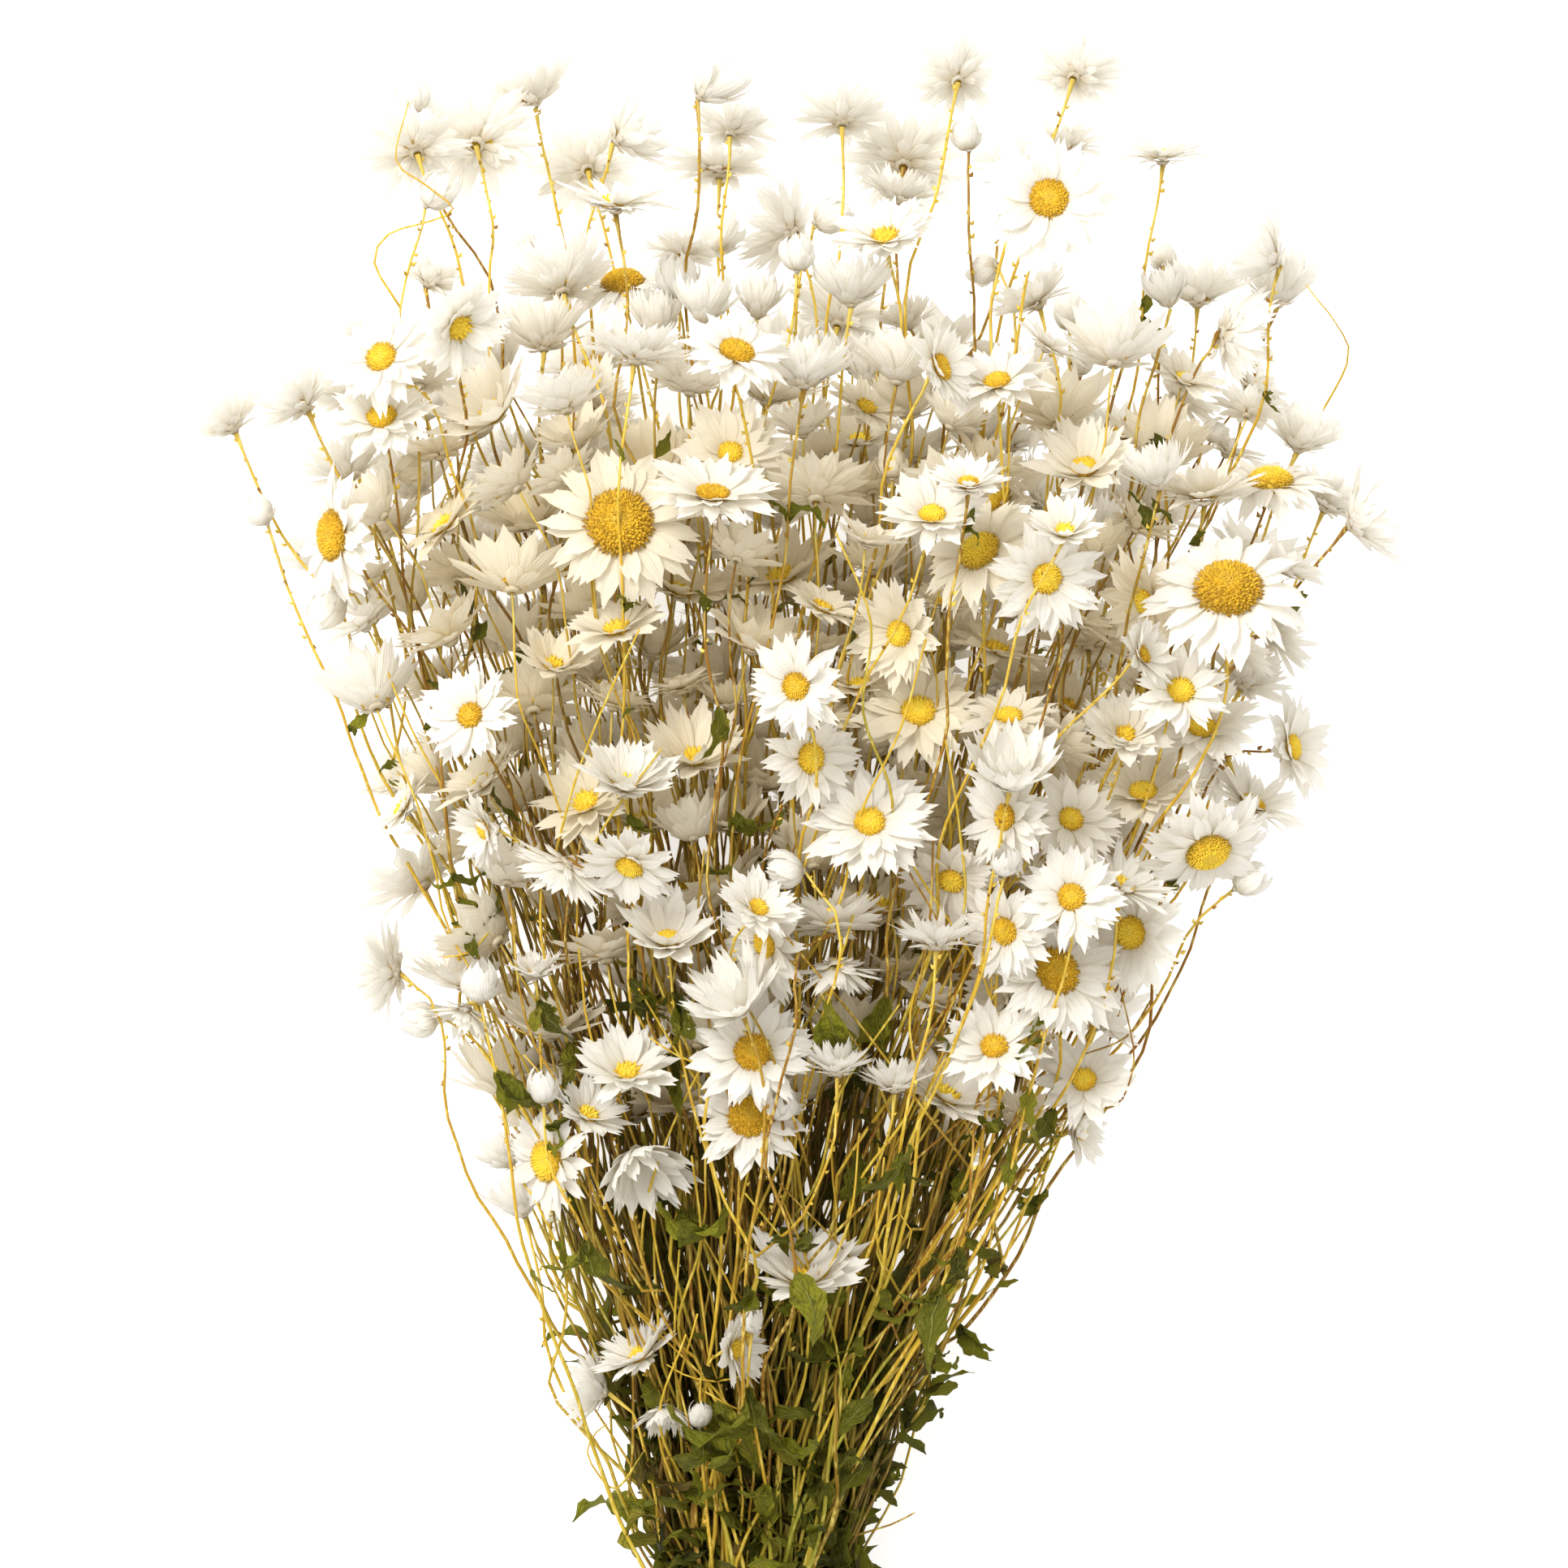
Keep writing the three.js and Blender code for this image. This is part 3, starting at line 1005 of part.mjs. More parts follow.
// The origin goes under the middle of the bunch's box
const box = new THREE.Box3().setFromObject(bunch);
const centre = box.getCenter(vec(0, 0, 0));
bunch.position.set(-centre.x, -centre.y, -box.min.z);

export default bunch;
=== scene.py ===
# A tied bunch of dried white rhodanthe, lying on its back. The frame's sprays are
# replaced, layer by layer of the tie, by papery petals, golden discs, thin wiry
# stems and curled leaves, which keep the sprays' places. Lengths in the layout are
# millimetres, as in the part's source; what goes into a mesh is in metres.

import math
import random

import bmesh
import bpy
import numpy as np
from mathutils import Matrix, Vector


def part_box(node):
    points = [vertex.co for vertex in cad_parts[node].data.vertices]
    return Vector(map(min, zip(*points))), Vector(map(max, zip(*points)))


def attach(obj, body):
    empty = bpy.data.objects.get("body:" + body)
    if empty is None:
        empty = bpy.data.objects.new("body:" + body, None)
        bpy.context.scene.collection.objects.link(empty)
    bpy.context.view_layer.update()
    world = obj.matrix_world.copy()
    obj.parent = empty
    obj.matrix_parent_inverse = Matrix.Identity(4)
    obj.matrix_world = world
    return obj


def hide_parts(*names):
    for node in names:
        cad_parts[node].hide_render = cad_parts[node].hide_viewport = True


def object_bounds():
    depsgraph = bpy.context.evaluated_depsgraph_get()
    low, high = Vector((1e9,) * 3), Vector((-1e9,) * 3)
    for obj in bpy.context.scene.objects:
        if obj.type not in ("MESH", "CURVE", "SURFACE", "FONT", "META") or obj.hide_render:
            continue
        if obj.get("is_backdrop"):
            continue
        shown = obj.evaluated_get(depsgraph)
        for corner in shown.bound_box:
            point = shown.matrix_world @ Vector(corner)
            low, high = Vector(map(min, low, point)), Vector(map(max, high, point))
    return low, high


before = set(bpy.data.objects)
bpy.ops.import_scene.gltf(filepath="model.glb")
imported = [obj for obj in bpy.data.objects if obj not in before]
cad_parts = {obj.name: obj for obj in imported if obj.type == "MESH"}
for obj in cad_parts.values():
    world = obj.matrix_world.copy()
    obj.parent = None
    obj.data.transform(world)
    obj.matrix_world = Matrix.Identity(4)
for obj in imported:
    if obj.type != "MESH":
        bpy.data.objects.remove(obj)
bpy.ops.object.select_all(action="DESELECT")
CAD_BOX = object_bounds()

# The layout, as in the part's source
PICTURE_SCALE = 0.22  # real millimetres in one picture pixel
TIE_ACROSS = 930  # where the tie's middle lies, in picture pixels
TIE_DOWN = 2180
TIE_ROWS = [4, 6, 8, 9, 9, 8, 6, 4]  # sprays in each layer at the tie
HEADS_PER_SPRAY = 4
STEM_PITCH = 3.4
ROW_PITCH = 2.95
STEM_RADIUS = 1.45
STEM_TIP_RADIUS = 0.85
BRANCH_RADIUS = 0.8
STEM_CLEARANCE = 0.4
CUT_LENGTH = 56
CUT_FLARE = 1.28
CUT_UNEVENNESS = 9
FAN_LENGTH = 330
FAN_HALF_WIDTH = 149
FAN_HALF_THICKNESS = 68
FAN_RISE = 55
FAN_DRIFT = 13
FAN_ORIGIN = 40
NECK_HALF_WIDTH = 16
NECK_HALF_THICKNESS = 10
TOP_NARROWING = 85
TOP_THINNING = 45
EDGE_ROUNDNESS = 0.12
BAND_THICKNESS = 2.4
BAND_TURNS = 3
BAND_CROSSING = 3.4  # how far its turns slide along the stems, so that they cross
BAND_CLEARANCE = 0.35
SEAT_HEIGHT = 1.4
RIM_HEIGHT = 2.3
DOME_SHARE = 0.4
BENT_BACK = 1.15
HIGH_DOME_SHARE = 0.75
LONGEST_PETAL = 15.5
CLOSED_ANGLE = 14
OPENING_ANGLE = 71
FLATTEST_SINE = 0.72  # no petal is made longer than this sine of its angle asks
BUD_OPENING = 0.24
BUD_SIZE = 12
LOW_HEADS = 255
HIDDEN_SPAN = 150, 420  # how far up the heads at the back lie
GOLDEN_SHARE = 0.381966
RESTING_HEADS = [[-0.62, 335], [0.6, 345], [-0.05, 385]]
RESTING_SIZE = 25
RESTING_DISC = 9
TIE_HALF_WIDTH = 1.13 * ((max(TIE_ROWS) - 1) / 2) * STEM_PITCH + 1.3 * STEM_RADIUS
TIE_HALF_DEPTH = 1.2 * ((len(TIE_ROWS) - 1) / 2) * ROW_PITCH + 1.1 * STEM_RADIUS
TIE_HEIGHT = TIE_HALF_DEPTH + BAND_CLEARANCE + BAND_THICKNESS

# Each head that shows: its middle across and down in pixels, its size in
# millimetres, how far it is open (0 bud, 1 flat, 1.3 bent back), the way it faces
# in the picture, its tilt from the viewer, and its disc's width (0 doesn't show)
PICTURE_HEADS = [
    [505, 110, 10, 0.3, 85, 95, 0], [578, 165, 32, 1, 80, 150, 0], [520, 180, 26, 1, 120, 140, 0],
    [542, 235, 11, 0.15, 50, 90, 0], [525, 338, 19, 0.8, 60, 110, 0], [568, 408, 24, 0.9, -30, 45, 0],
    [645, 105, 24, 0.6, 105, 90, 0], [768, 155, 23, 0.55, 35, 100, 0], [720, 190, 26, 0.9, 120, 150, 0],
    [878, 105, 20, 0.35, 45, 95, 0], [885, 195, 28, 1, 90, 105, 0], [900, 150, 22, 0.9, 80, 120, 0],
    [760, 258, 28, 0.95, 90, 82, 0], [645, 288, 7, 0.2, 170, 130, 0], [690, 345, 28, 0.7, 100, 120, 0],
    [668, 408, 24, 0.6, 95, 105, 0], [765, 352, 24, 1.25, 95, 65, 12], [833, 340, 13, 0.2, 90, 85, 0],
    [838, 300, 20, 0.9, 80, 110, 0], [888, 285, 14, 0.3, 90, 150, 0], [970, 270, 26, 0.8, 160, 120, 0],
    [982, 315, 10, 0.3, 90, 90, 0], [935, 370, 15, 0.3, 85, 95, 0], [812, 390, 18, 0.35, 90, 90, 0],
    [868, 378, 18, 0.4, 85, 90, 0], [1038, 140, 24, 0.85, 90, 120, 0], [1178, 95, 24, 0.9, 110, 140, 0],
    [1325, 90, 24, 0.9, 70, 140, 0], [1115, 190, 30, 1, 90, 140, 0], [1190, 165, 9, 0.35, 100, 100, 0],
    [1110, 235, 20, 0.75, 75, 95, 0], [1028, 258, 11, 0.2, 20, 100, 0], [1288, 255, 32, 1, 90, 12, 11.7],
    [1088, 300, 25, 0.9, 100, 55, 0], [1318, 175, 20, 0.9, 90, 100, 0], [1240, 200, 16, 0.5, 100, 120, 0],
    [1213, 330, 9, 0.2, 200, 130, 0], [1275, 370, 22, 0.8, 120, 100, 0], [1322, 378, 10, 0.4, 90, 110, 0],
    [1050, 355, 22, 0.5, 90, 90, 0], [1118, 392, 14, 0.6, 110, 110, 0], [1435, 190, 23, 0.95, 92, 88, 0],
    [1440, 310, 8, 0.3, 90, 140, 0], [1437, 358, 15, 0.3, 105, 95, 0], [1490, 352, 26, 0.7, 88, 92, 0],
    [1568, 345, 24, 0.45, 85, 90, 0], [1560, 320, 22, 0.55, 150, 95, 0], [1518, 410, 24, 0.7, -10, 120, 0],
    [280, 519, 23, 0.75, 122, 100, 0], [370, 497, 24, 0.75, 135, 100, 0], [420, 478, 22, 0.8, 110, 120, 0],
    [428, 413, 13, 0.35, 85, 110, 0], [474, 447, 26, 1, 130, 30, 9], [472, 514, 24, 0.9, 100, 40, 9],
    [520, 494, 13, 0.35, 90, 110, 0], [577, 507, 14, 0, 95, 90, 0], [504, 576, 8, 0, 20, 90, 0],
    [500, 587, 24, 0.5, 100, 110, 0], [425, 575, 22, 0.7, 110, 110, 0], [422, 662, 29, 1.15, 180, 55, 14],
    [318, 627, 9, 0.1, 120, 90, 0], [402, 747, 11, 0.3, 235, 95, 0], [497, 722, 13, 0.1, 95, 90, 0],
    [612, 622, 24, 1.2, 95, 70, 0], [605, 567, 22, 0.8, 130, 115, 0], [592, 682, 22, 0.8, 200, 80, 0],
    [708, 464, 8, 0.5, 90, 90, 0], [732, 495, 22, 0.8, 60, 130, 0], [785, 440, 26, 0.8, 80, 100, 0],
    [907, 447, 25, 1.1, 70, 50, 10], [947, 475, 26, 0.6, 80, 90, 0], [990, 462, 26, 0.6, 90, 100, 0],
    [640, 560, 20, 0.8, 120, 110, 0], [715, 560, 28, 0.9, 100, 100, 0], [764, 650, 34, 1.2, 80, 15, 19],
    [690, 665, 30, 1.3, 270, 80, 16], [899, 562, 25, 0.8, 90, 30, 6], [880, 612, 31, 0.95, 85, 62, 10],
    [685, 755, 16, 0.45, 90, 85, 0], [747, 755, 19, 0.35, 95, 80, 0], [802, 790, 20, 0.5, 80, 90, 0],
    [917, 772, 30, 0.9, 85, 110, 0], [984, 720, 24, 0.6, 90, 90, 0], [1071, 452, 14, 0.3, 80, 90, 0],
    [1119, 494, 20, 0.45, 90, 90, 0], [1158, 460, 22, 0.9, 20, 60, 8], [1224, 477, 24, 1, 100, 55, 8],
    [1284, 477, 28, 0.9, 20, 110, 0], [1206, 525, 20, 0.4, 100, 90, 0], [1336, 437, 8, 0.5, 90, 100, 0],
    [1334, 512, 22, 0.8, 60, 110, 0], [1334, 575, 26, 0.75, 95, 45, 5], [1064, 567, 24, 0.7, 90, 115, 0],
    [1099, 570, 9, 0.3, 90, 100, 0], [1146, 640, 26, 0.9, 90, 50, 8], [1189, 602, 18, 0.8, 90, 60, 6],
    [1237, 620, 26, 1.1, 130, 70, 10], [1289, 612, 24, 0.8, 40, 80, 0], [1212, 690, 30, 1.25, 130, 45, 12],
    [1285, 711, 27, 1, -40, 20, 9], [1304, 662, 18, 0.7, 90, 50, 0], [1361, 662, 28, 0.8, 90, 120, 0],
    [1376, 724, 24, 0.8, 60, 110, 0], [1027, 700, 20, 0.6, 100, 90, 0], [1076, 690, 20, 0.6, 90, 80, 0],
    [1107, 782, 24, 0.8, 200, 30, 8], [1179, 780, 20, 0.5, 85, 75, 0], [1346, 790, 24, 0.9, 80, 110, 0],
    [1433, 428, 5, 0.2, 90, 100, 0], [1501, 527, 7, 0.2, 30, 90, 0], [1606, 542, 24, 0.6, 75, 85, 0],
    [1423, 587, 18, 0.45, 105, 85, 0], [1498, 607, 28, 0.85, 95, 85, 0], [1561, 600, 30, 1.2, 90, 70, 13],
    [1636, 612, 24, 0.8, 60, 95, 0], [1680, 642, 24, 0.6, 20, 85, 0], [1421, 742, 26, 0.95, 200, 50, 8],
    [1500, 740, 34, 1.3, 90, 40, 19], [1576, 777, 22, 0.8, 20, 110, 0], [584, 883, 25, 1, 150, 28, 7],
    [532, 842, 22, 0.8, 120, 110, 0], [527, 953, 20, 0.25, 145, 95, 0], [598, 1022, 18, 0.8, 200, 60, 5],
    [684, 823, 26, 0.9, 90, 120, 0], [733, 813, 12, 0.3, 90, 90, 0], [982, 847, 23, 1, 200, 20, 8],
    [900, 862, 18, 0.7, 90, 90, 0], [1028, 867, 24, 0.5, 90, 70, 0], [1068, 911, 24, 0.45, 90, 80, 0],
    [1131, 879, 28, 1, 90, 30, 10], [998, 937, 25, 1, 0, 35, 9], [856, 926, 24, 0.6, 90, 50, 0],
    [797, 901, 12, 0.1, 130, 85, 0], [773, 960, 24, 0.7, 80, 60, 0], [719, 995, 26, 0.8, 120, 45, 0],
    [709, 1059, 24, 0.9, 240, 110, 0], [768, 1063, 24, 1, 250, 50, 8], [1068, 1012, 30, 1, 90, 25, 8],
    [964, 1073, 11, 0.1, 180, 90, 0], [823, 1150, 24, 0.6, 90, 50, 4], [935, 1117, 20, 0.8, 60, 45, 5],
    [950, 1167, 26, 1, 200, 45, 8], [1018, 1142, 26, 0.9, 90, 110, 0], [1028, 1191, 22, 0.9, 270, 100, 0],
    [910, 1221, 26, 0.5, 120, 70, 0], [928, 1297, 28, 1, 90, 8, 11], [925, 1380, 25, 1.1, 90, 25, 13],
    [962, 1358, 9, 0, 90, 60, 0], [675, 1432, 25, 1.1, 185, 45, 12], [724, 1373, 20, 0.8, 60, 60, 0],
    [788, 1440, 24, 0.5, 300, 45, 0], [773, 1319, 24, 0.8, 90, 50, 0], [591, 1211, 11, 0, 90, 80, 0],
    [518, 1257, 10, 0.1, 190, 100, 0], [567, 1250, 20, 0.8, 250, 80, 0], [478, 1201, 24, 0.8, 175, 110, 0],
    [670, 1338, 10, 0.1, 90, 90, 0], [660, 1196, 14, 0.7, 90, 80, 0], [622, 1432, 14, 0.5, 120, 110, 0],
    [636, 1485, 18, 0.5, 110, 100, 0], [1235, 847, 24, 0.9, 120, 110, 0], [1242, 887, 22, 1, 90, 55, 8],
    [1311, 872, 28, 0.95, 80, 140, 0], [1363, 813, 26, 0.9, 90, 130, 0], [1449, 852, 22, 1, 90, 25, 8],
    [1405, 810, 18, 0.8, 20, 60, 5], [1385, 901, 20, 0.6, 90, 40, 0], [1481, 896, 28, 0.9, 100, 40, 4],
    [1540, 838, 24, 0.8, 60, 110, 0], [1594, 921, 26, 0.9, 10, 60, 7], [1505, 936, 24, 0.8, 200, 110, 0],
    [1544, 993, 26, 0.9, 60, 70, 5], [1240, 960, 24, 0.5, 90, 60, 6], [1314, 955, 12, 0.1, 90, 90, 0],
    [1407, 978, 28, 0.9, 90, 50, 6], [1171, 1005, 24, 1, 90, 150, 0], [1233, 1014, 26, 1, 180, 45, 5],
    [1323, 1014, 24, 1, 60, 30, 6], [1235, 1054, 8, 0, 90, 60, 0], [1490, 1040, 30, 1.2, 290, 50, 13],
    [1540, 1081, 10, 0.1, 30, 90, 0], [1181, 1074, 26, 1, 250, 40, 8], [1309, 1110, 24, 1, 90, 15, 8],
    [1255, 1142, 22, 1, 200, 30, 8], [1299, 1137, 18, 0.8, 40, 50, 0], [1397, 1149, 28, 1, 190, 30, 10],
    [1289, 1192, 32, 1.15, 45, 35, 14], [1377, 1088, 24, 0.9, 60, 70, 0], [1152, 1157, 22, 0.8, 90, 100, 0],
    [1235, 1230, 22, 0.6, 170, 70, 0], [1225, 1284, 24, 1, 90, 30, 8], [1161, 1348, 26, 0.8, 60, 60, 0],
    [1338, 1334, 24, 0.9, 90, 25, 5], [1335, 1398, 16, 0.7, 0, 60, 0], [1107, 1334, 18, 0.7, 90, 100, 0],
    [991, 1573, 30, 0.7, 90, 60, 0], [925, 1632, 7, 0, 90, 60, 0], [785, 1676, 22, 0.8, 120, 70, 0],
    [907, 1666, 20, 0.8, 0, 60, 0], [729, 1723, 20, 0.6, 170, 100, 0], [860, 1751, 7, 0.1, 90, 90, 0],
    [1033, 1312, 18, 0.7, 90, 100, 0], [818, 1751, 14, 0.6, 270, 70, 0],
]

# The larger leaves that show: middle across and down, length, width, the tip's way
PICTURE_LEAVES = [
    [600, 770, 15, 8, 60], [620, 815, 12, 7, 120], [530, 901, 8, 6, 60], [500, 884, 10, 4, 140],
    [465, 894, 9, 4, 60], [465, 954, 9, 3, 150], [600, 999, 14, 4, -50], [572, 1104, 12, 4, -70],
    [603, 1130, 18, 9, -60], [567, 1174, 12, 4, -50], [985, 600, 12, 6, 80], [812, 545, 9, 4, 60],
    [902, 720, 10, 5, 100], [802, 747, 9, 5, 60], [1370, 380, 8, 4, 60], [1393, 400, 9, 4, -60],
    [1666, 492, 7, 4, -80], [1448, 652, 12, 5, 110], [1601, 747, 11, 5, -60], [1413, 625, 7, 4, 60],
    [1428, 540, 8, 4, 120], [1186, 652, 8, 4, 60], [1021, 567, 8, 4, 90], [887, 895, 15, 5, -65],
    [807, 1034, 10, 4, -75], [929, 1041, 16, 6, -70], [909, 1091, 14, 5, -110], [1475, 1110, 12, 5, 250],
    [679, 1268, 13, 5, -60], [767, 1243, 13, 5, -55], [804, 1243, 12, 6, 70], [847, 1253, 17, 7, -75],
    [712, 1306, 13, 5, -65], [729, 1296, 10, 7, 250], [649, 1343, 16, 6, -62], [704, 1393, 10, 7, 20],
    [822, 1346, 18, 4, -65], [924, 1411, 10, 5, -60], [712, 1566, 17, 8, -65], [847, 1546, 25, 9, -88],
    [1054, 1296, 28, 9, 250], [1284, 1268, 9, 7, 180], [1224, 1381, 9, 7, 40], [1280, 1390, 14, 6, 235],
    [1119, 1446, 14, 6, -85], [1171, 1468, 10, 8, 60], [1076, 1446, 16, 5, -85], [1306, 1508, 13, 3, 245],
    [1234, 1553, 13, 9, 100], [1196, 1563, 10, 7, -60], [1029, 1521, 10, 7, 10], [812, 1740, 12, 7, -80],
    [772, 1835, 15, 6, 250], [765, 1867, 19, 6, 145], [882, 1817, 21, 6, -57], [852, 1847, 14, 8, 120],
    [902, 1785, 26, 5, -65], [930, 1775, 25, 6, -85], [935, 1620, 13, 7, -40], [1018, 1605, 22, 11, -80],
    [1032, 1680, 15, 8, 260], [1050, 1725, 14, 6, 250], [992, 1827, 28, 7, -80], [952, 1877, 15, 8, 260],
    [1155, 1627, 20, 7, 230], [1187, 1670, 13, 6, -65], [1147, 1702, 15, 7, 240], [1100, 1632, 12, 9, -70],
    [1097, 1852, 12, 8, 60], [1140, 1845, 9, 5, 20],
]

# Which of them are dry and dark brown, and which are the brightest green
BROWN_LEAVES = [(772, 1835), (1147, 1702), (1097, 1852), (1140, 1845), (1234, 1553)]
BRIGHT_LEAVES = [(1018, 1605), (992, 1827), (952, 1877), (847, 1546), (1054, 1296), (902, 1785)]

# Thin strands that stray from the bunch, from their stem outwards: places across
# and down in the picture
STRAY_STRANDS = [
    [[730, 1690], [722, 1647], [710, 1617], [685, 1595], [650, 1540]],
    [[790, 1790], [757, 1847], [735, 1830], [720, 1800], [732, 1775], [745, 1765]],
    [[990, 1690], [935, 1700], [880, 1710], [840, 1700], [820, 1688]],
    [[985, 1768], [930, 1755], [890, 1735], [868, 1722]],
    [[1099, 1586], [1088, 1565], [1081, 1546], [1090, 1515], [1109, 1498], [1124, 1520], [1119, 1542]],
    [[872, 1321], [835, 1300], [801, 1278]],
    [[1300, 1395], [1361, 1371], [1386, 1356], [1399, 1308], [1392, 1260], [1381, 1216]],
    [[1026, 1920], [1060, 1908], [1100, 1895], [1130, 1880]],
    [[732, 1350], [690, 1300], [655, 1278], [622, 1263]],
    [[690, 1400], [668, 1370], [672, 1335], [645, 1300]],
    [[470, 370], [462, 325], [480, 290], [530, 275], [560, 260], [525, 230], [490, 200], [505, 130]],
    [[1660, 490], [1664, 445], [1650, 400], [1625, 370], [1610, 350]],
    [[560, 700], [540, 650], [548, 610], [575, 590]],
    [[1300, 1300], [1250, 1320], [1205, 1345], [1190, 1385], [1215, 1420]],
    [[620, 1110], [600, 1150], [575, 1175], [545, 1180]],
    [[1420, 1230], [1390, 1280], [1340, 1300]],
]


def seeded(seed):
    """A repeatable stream of draws between 0 and 1, the same as in the part's source."""
    state = seed
    while True:
        state = (state * 1664525 + 1013904223) % 4294967296
        yield state / 4294967296


def clamp(value, low, high):
    return max(low, min(high, value))


def swelling(y, neck, full, loss):
    inside, past = clamp(y / FAN_LENGTH, 0, 1), max(0, y / FAN_LENGTH - 1)
    return neck + (full - neck) * inside - loss * past


def middle_x(y):
    return FAN_DRIFT * clamp(y / FAN_LENGTH, 0, 1)


def middle_z(y):
    return TIE_HEIGHT + FAN_RISE * clamp(y / FAN_LENGTH, 0, 1)


def half_width(y):
    return swelling(y, NECK_HALF_WIDTH, FAN_HALF_WIDTH, TOP_NARROWING)


def depth_at(x, y):
    """How far the bunch reaches before and behind its middle."""
    off = (x - middle_x(y)) / half_width(y)
    thick = swelling(y, NECK_HALF_THICKNESS, FAN_HALF_THICKNESS, TOP_THINNING)
    return thick * math.sqrt(max(EDGE_ROUNDNESS, 1 - off * off))


def inwardness(spot):
    """0 at the bunch's front, back and outline, 1 in its middle: how much shade the materials paint there.
    """
    middle = 1 - abs(spot.z - middle_z(spot.y)) / depth_at(spot.x, spot.y)
    side = 1 - abs(spot.x - middle_x(spot.y)) / half_width(spot.y)
    return clamp(middle, 0, 1) * clamp(3.5 * side, 0, 1) * clamp((430 - spot.y) / 100, 0, 1)


def facing(aim, tilt):
    a, t = math.radians(aim), math.radians(tilt)
    return Vector((math.sin(t) * math.cos(a), math.sin(t) * math.sin(a), math.cos(t)))


def picture_place(across, down):
    return (across - TIE_ACROSS) * PICTURE_SCALE, (TIE_DOWN - down) * PICTURE_SCALE


class Head:
    """One flower head or bud, where it sits in the bunch."""

    def __init__(self, x, y, size, opening, aim, tilt, disc, share, pinned=False):
        self.face = facing(aim, tilt)
        self.size, self.opening, self.disc, self.pinned = size, opening, disc, pinned
        self.inner = False
        self.angle = math.radians(CLOSED_ANGLE + OPENING_ANGLE * opening)
        self.petal = min(LONGEST_PETAL, 0.5 * size / max(math.sin(self.angle), FLATTEST_SINE))
        self.aimed_z = middle_z(y) + share * depth_at(x, y)
        self.middle = Vector((x, y, SEAT_HEIGHT if pinned else self.aimed_z))
        self.bud = opening < BUD_OPENING or size < BUD_SIZE
        self.half = 0.5 * size
        deep = 0.55 * self.petal * abs(math.cos(self.angle)) + 3
        self.deep = self.half if self.bud else max(4.5, deep)

    def reach(self, way):
        along = way.dot(self.face)
        return math.sqrt(self.half**2 * (1 - along * along) + self.deep**2 * along * along)


def front_share(y, tilt, step):
    if y < LOW_HEADS:
        return 0.72 + 0.28 * step
    if tilt <= 60:
        return 0.35 + 0.6 * step
    return -0.6 + 1.2 * step if tilt <= 100 else -0.95 + 1.1 * step


def place_heads():
    draw = seeded(20211)
    heads = []
    for across, down, size, opening, aim, tilt, disc in PICTURE_HEADS:
        x, y = picture_place(across, down)
        heads.append(Head(x, y, size, opening, aim, tilt, disc, front_share(y, tilt, next(draw))))
    for side, along in RESTING_HEADS:
        x = middle_x(along) + side * half_width(along)
        heads.append(Head(x, along, RESTING_SIZE, 0.95, 90, 180, RESTING_DISC, -1, pinned=True))
    hidden = sum(TIE_ROWS) * HEADS_PER_SPRAY - len(heads)
    for k in range(hidden):
        lowest, highest = HIDDEN_SPAN
        along = lowest + (highest - lowest) * ((k * GOLDEN_SHARE) % 1)
        side = 0.85 * (2 * ((k + 0.5) / hidden) - 1)
        x = middle_x(along) + 0.92 * side * half_width(along)
        aim = 90 - 38 * side + 40 * (next(draw) - 0.5)
        size = 20 + 9 * next(draw)
        opening = 0.7 + 0.35 * next(draw)
        tilt = 105 + 70 * next(draw)
        heads.append(Head(x, along, size, opening, aim, tilt, 0, -0.8 - 0.2 * next(draw)))
    return heads


def spread_heads(heads, rounds=90, farthest=36):
    """Heads that would share a place give way, mostly forward and back."""
    ceiling = 2 * FAN_HALF_THICKNESS + 18
    for _ in range(rounds):
        spots = np.array([head.middle for head in heads])
        apart = np.linalg.norm(spots[:, None] - spots[None], axis=2)
        for i, j in np.argwhere(np.triu(apart < farthest + 4, 1)):
            a, b = heads[i], heads[j]
            way = b.middle - a.middle
            gap = way.length
            if gap > farthest:
                continue
            way /= gap
            short = 0.97 * (a.reach(way) + b.reach(way)) - gap
            if short <= 0:
                continue
            push = Vector((0.12 * way.x, 0.12 * way.y, 1 if way.z >= 0 else -1)) * (0.25 * short)
            if not a.pinned:
                a.middle -= push
            if not b.pinned:
                b.middle += push
        for head in heads:
            if not head.pinned:
                z = head.middle.z + 0.02 * (head.aimed_z - head.middle.z)
                head.middle.z = clamp(z, min(0.5 * head.half + 1, 6), ceiling)


class Spray:
    """Four heads on one stem; paths lists the numbers of its points, stem by stem."""

    def __init__(self, heads, root, layer):
        self.heads, self.root, self.layer, self.paths = heads, root, layer, []


def gather_sprays(heads):
    for head in heads:
        back = 0.5 * head.size if head.bud else 0.42 * head.petal * math.cos(head.angle) + 1
        head.foot = head.middle - head.face * back
        head.foot.z = RIM_HEIGHT if head.pinned else max(head.foot.z, 2.6)
        head.steep = (head.foot.z - TIE_HEIGHT) / (head.foot.y + FAN_ORIGIN)
        head.lean = head.foot.x / (head.foot.y + FAN_ORIGIN)
    ranked = sorted(heads, key=lambda head: head.steep)
    sprays, taken = [], 0
    for row, count in enumerate(TIE_ROWS):
        layer = sorted(ranked[taken:taken + count * HEADS_PER_SPRAY], key=lambda head: head.lean)
        taken += len(layer)
        for column in range(count):
            own = layer[column * HEADS_PER_SPRAY:(column + 1) * HEADS_PER_SPRAY]
            own.sort(key=lambda head: -head.foot.y)
            x = (column - (count - 1) / 2) * STEM_PITCH
            z = TIE_HEIGHT + (row - (len(TIE_ROWS) - 1) / 2) * ROW_PITCH
            sprays.append(Spray(own, Vector((x, 0, z)), row))
    return sprays


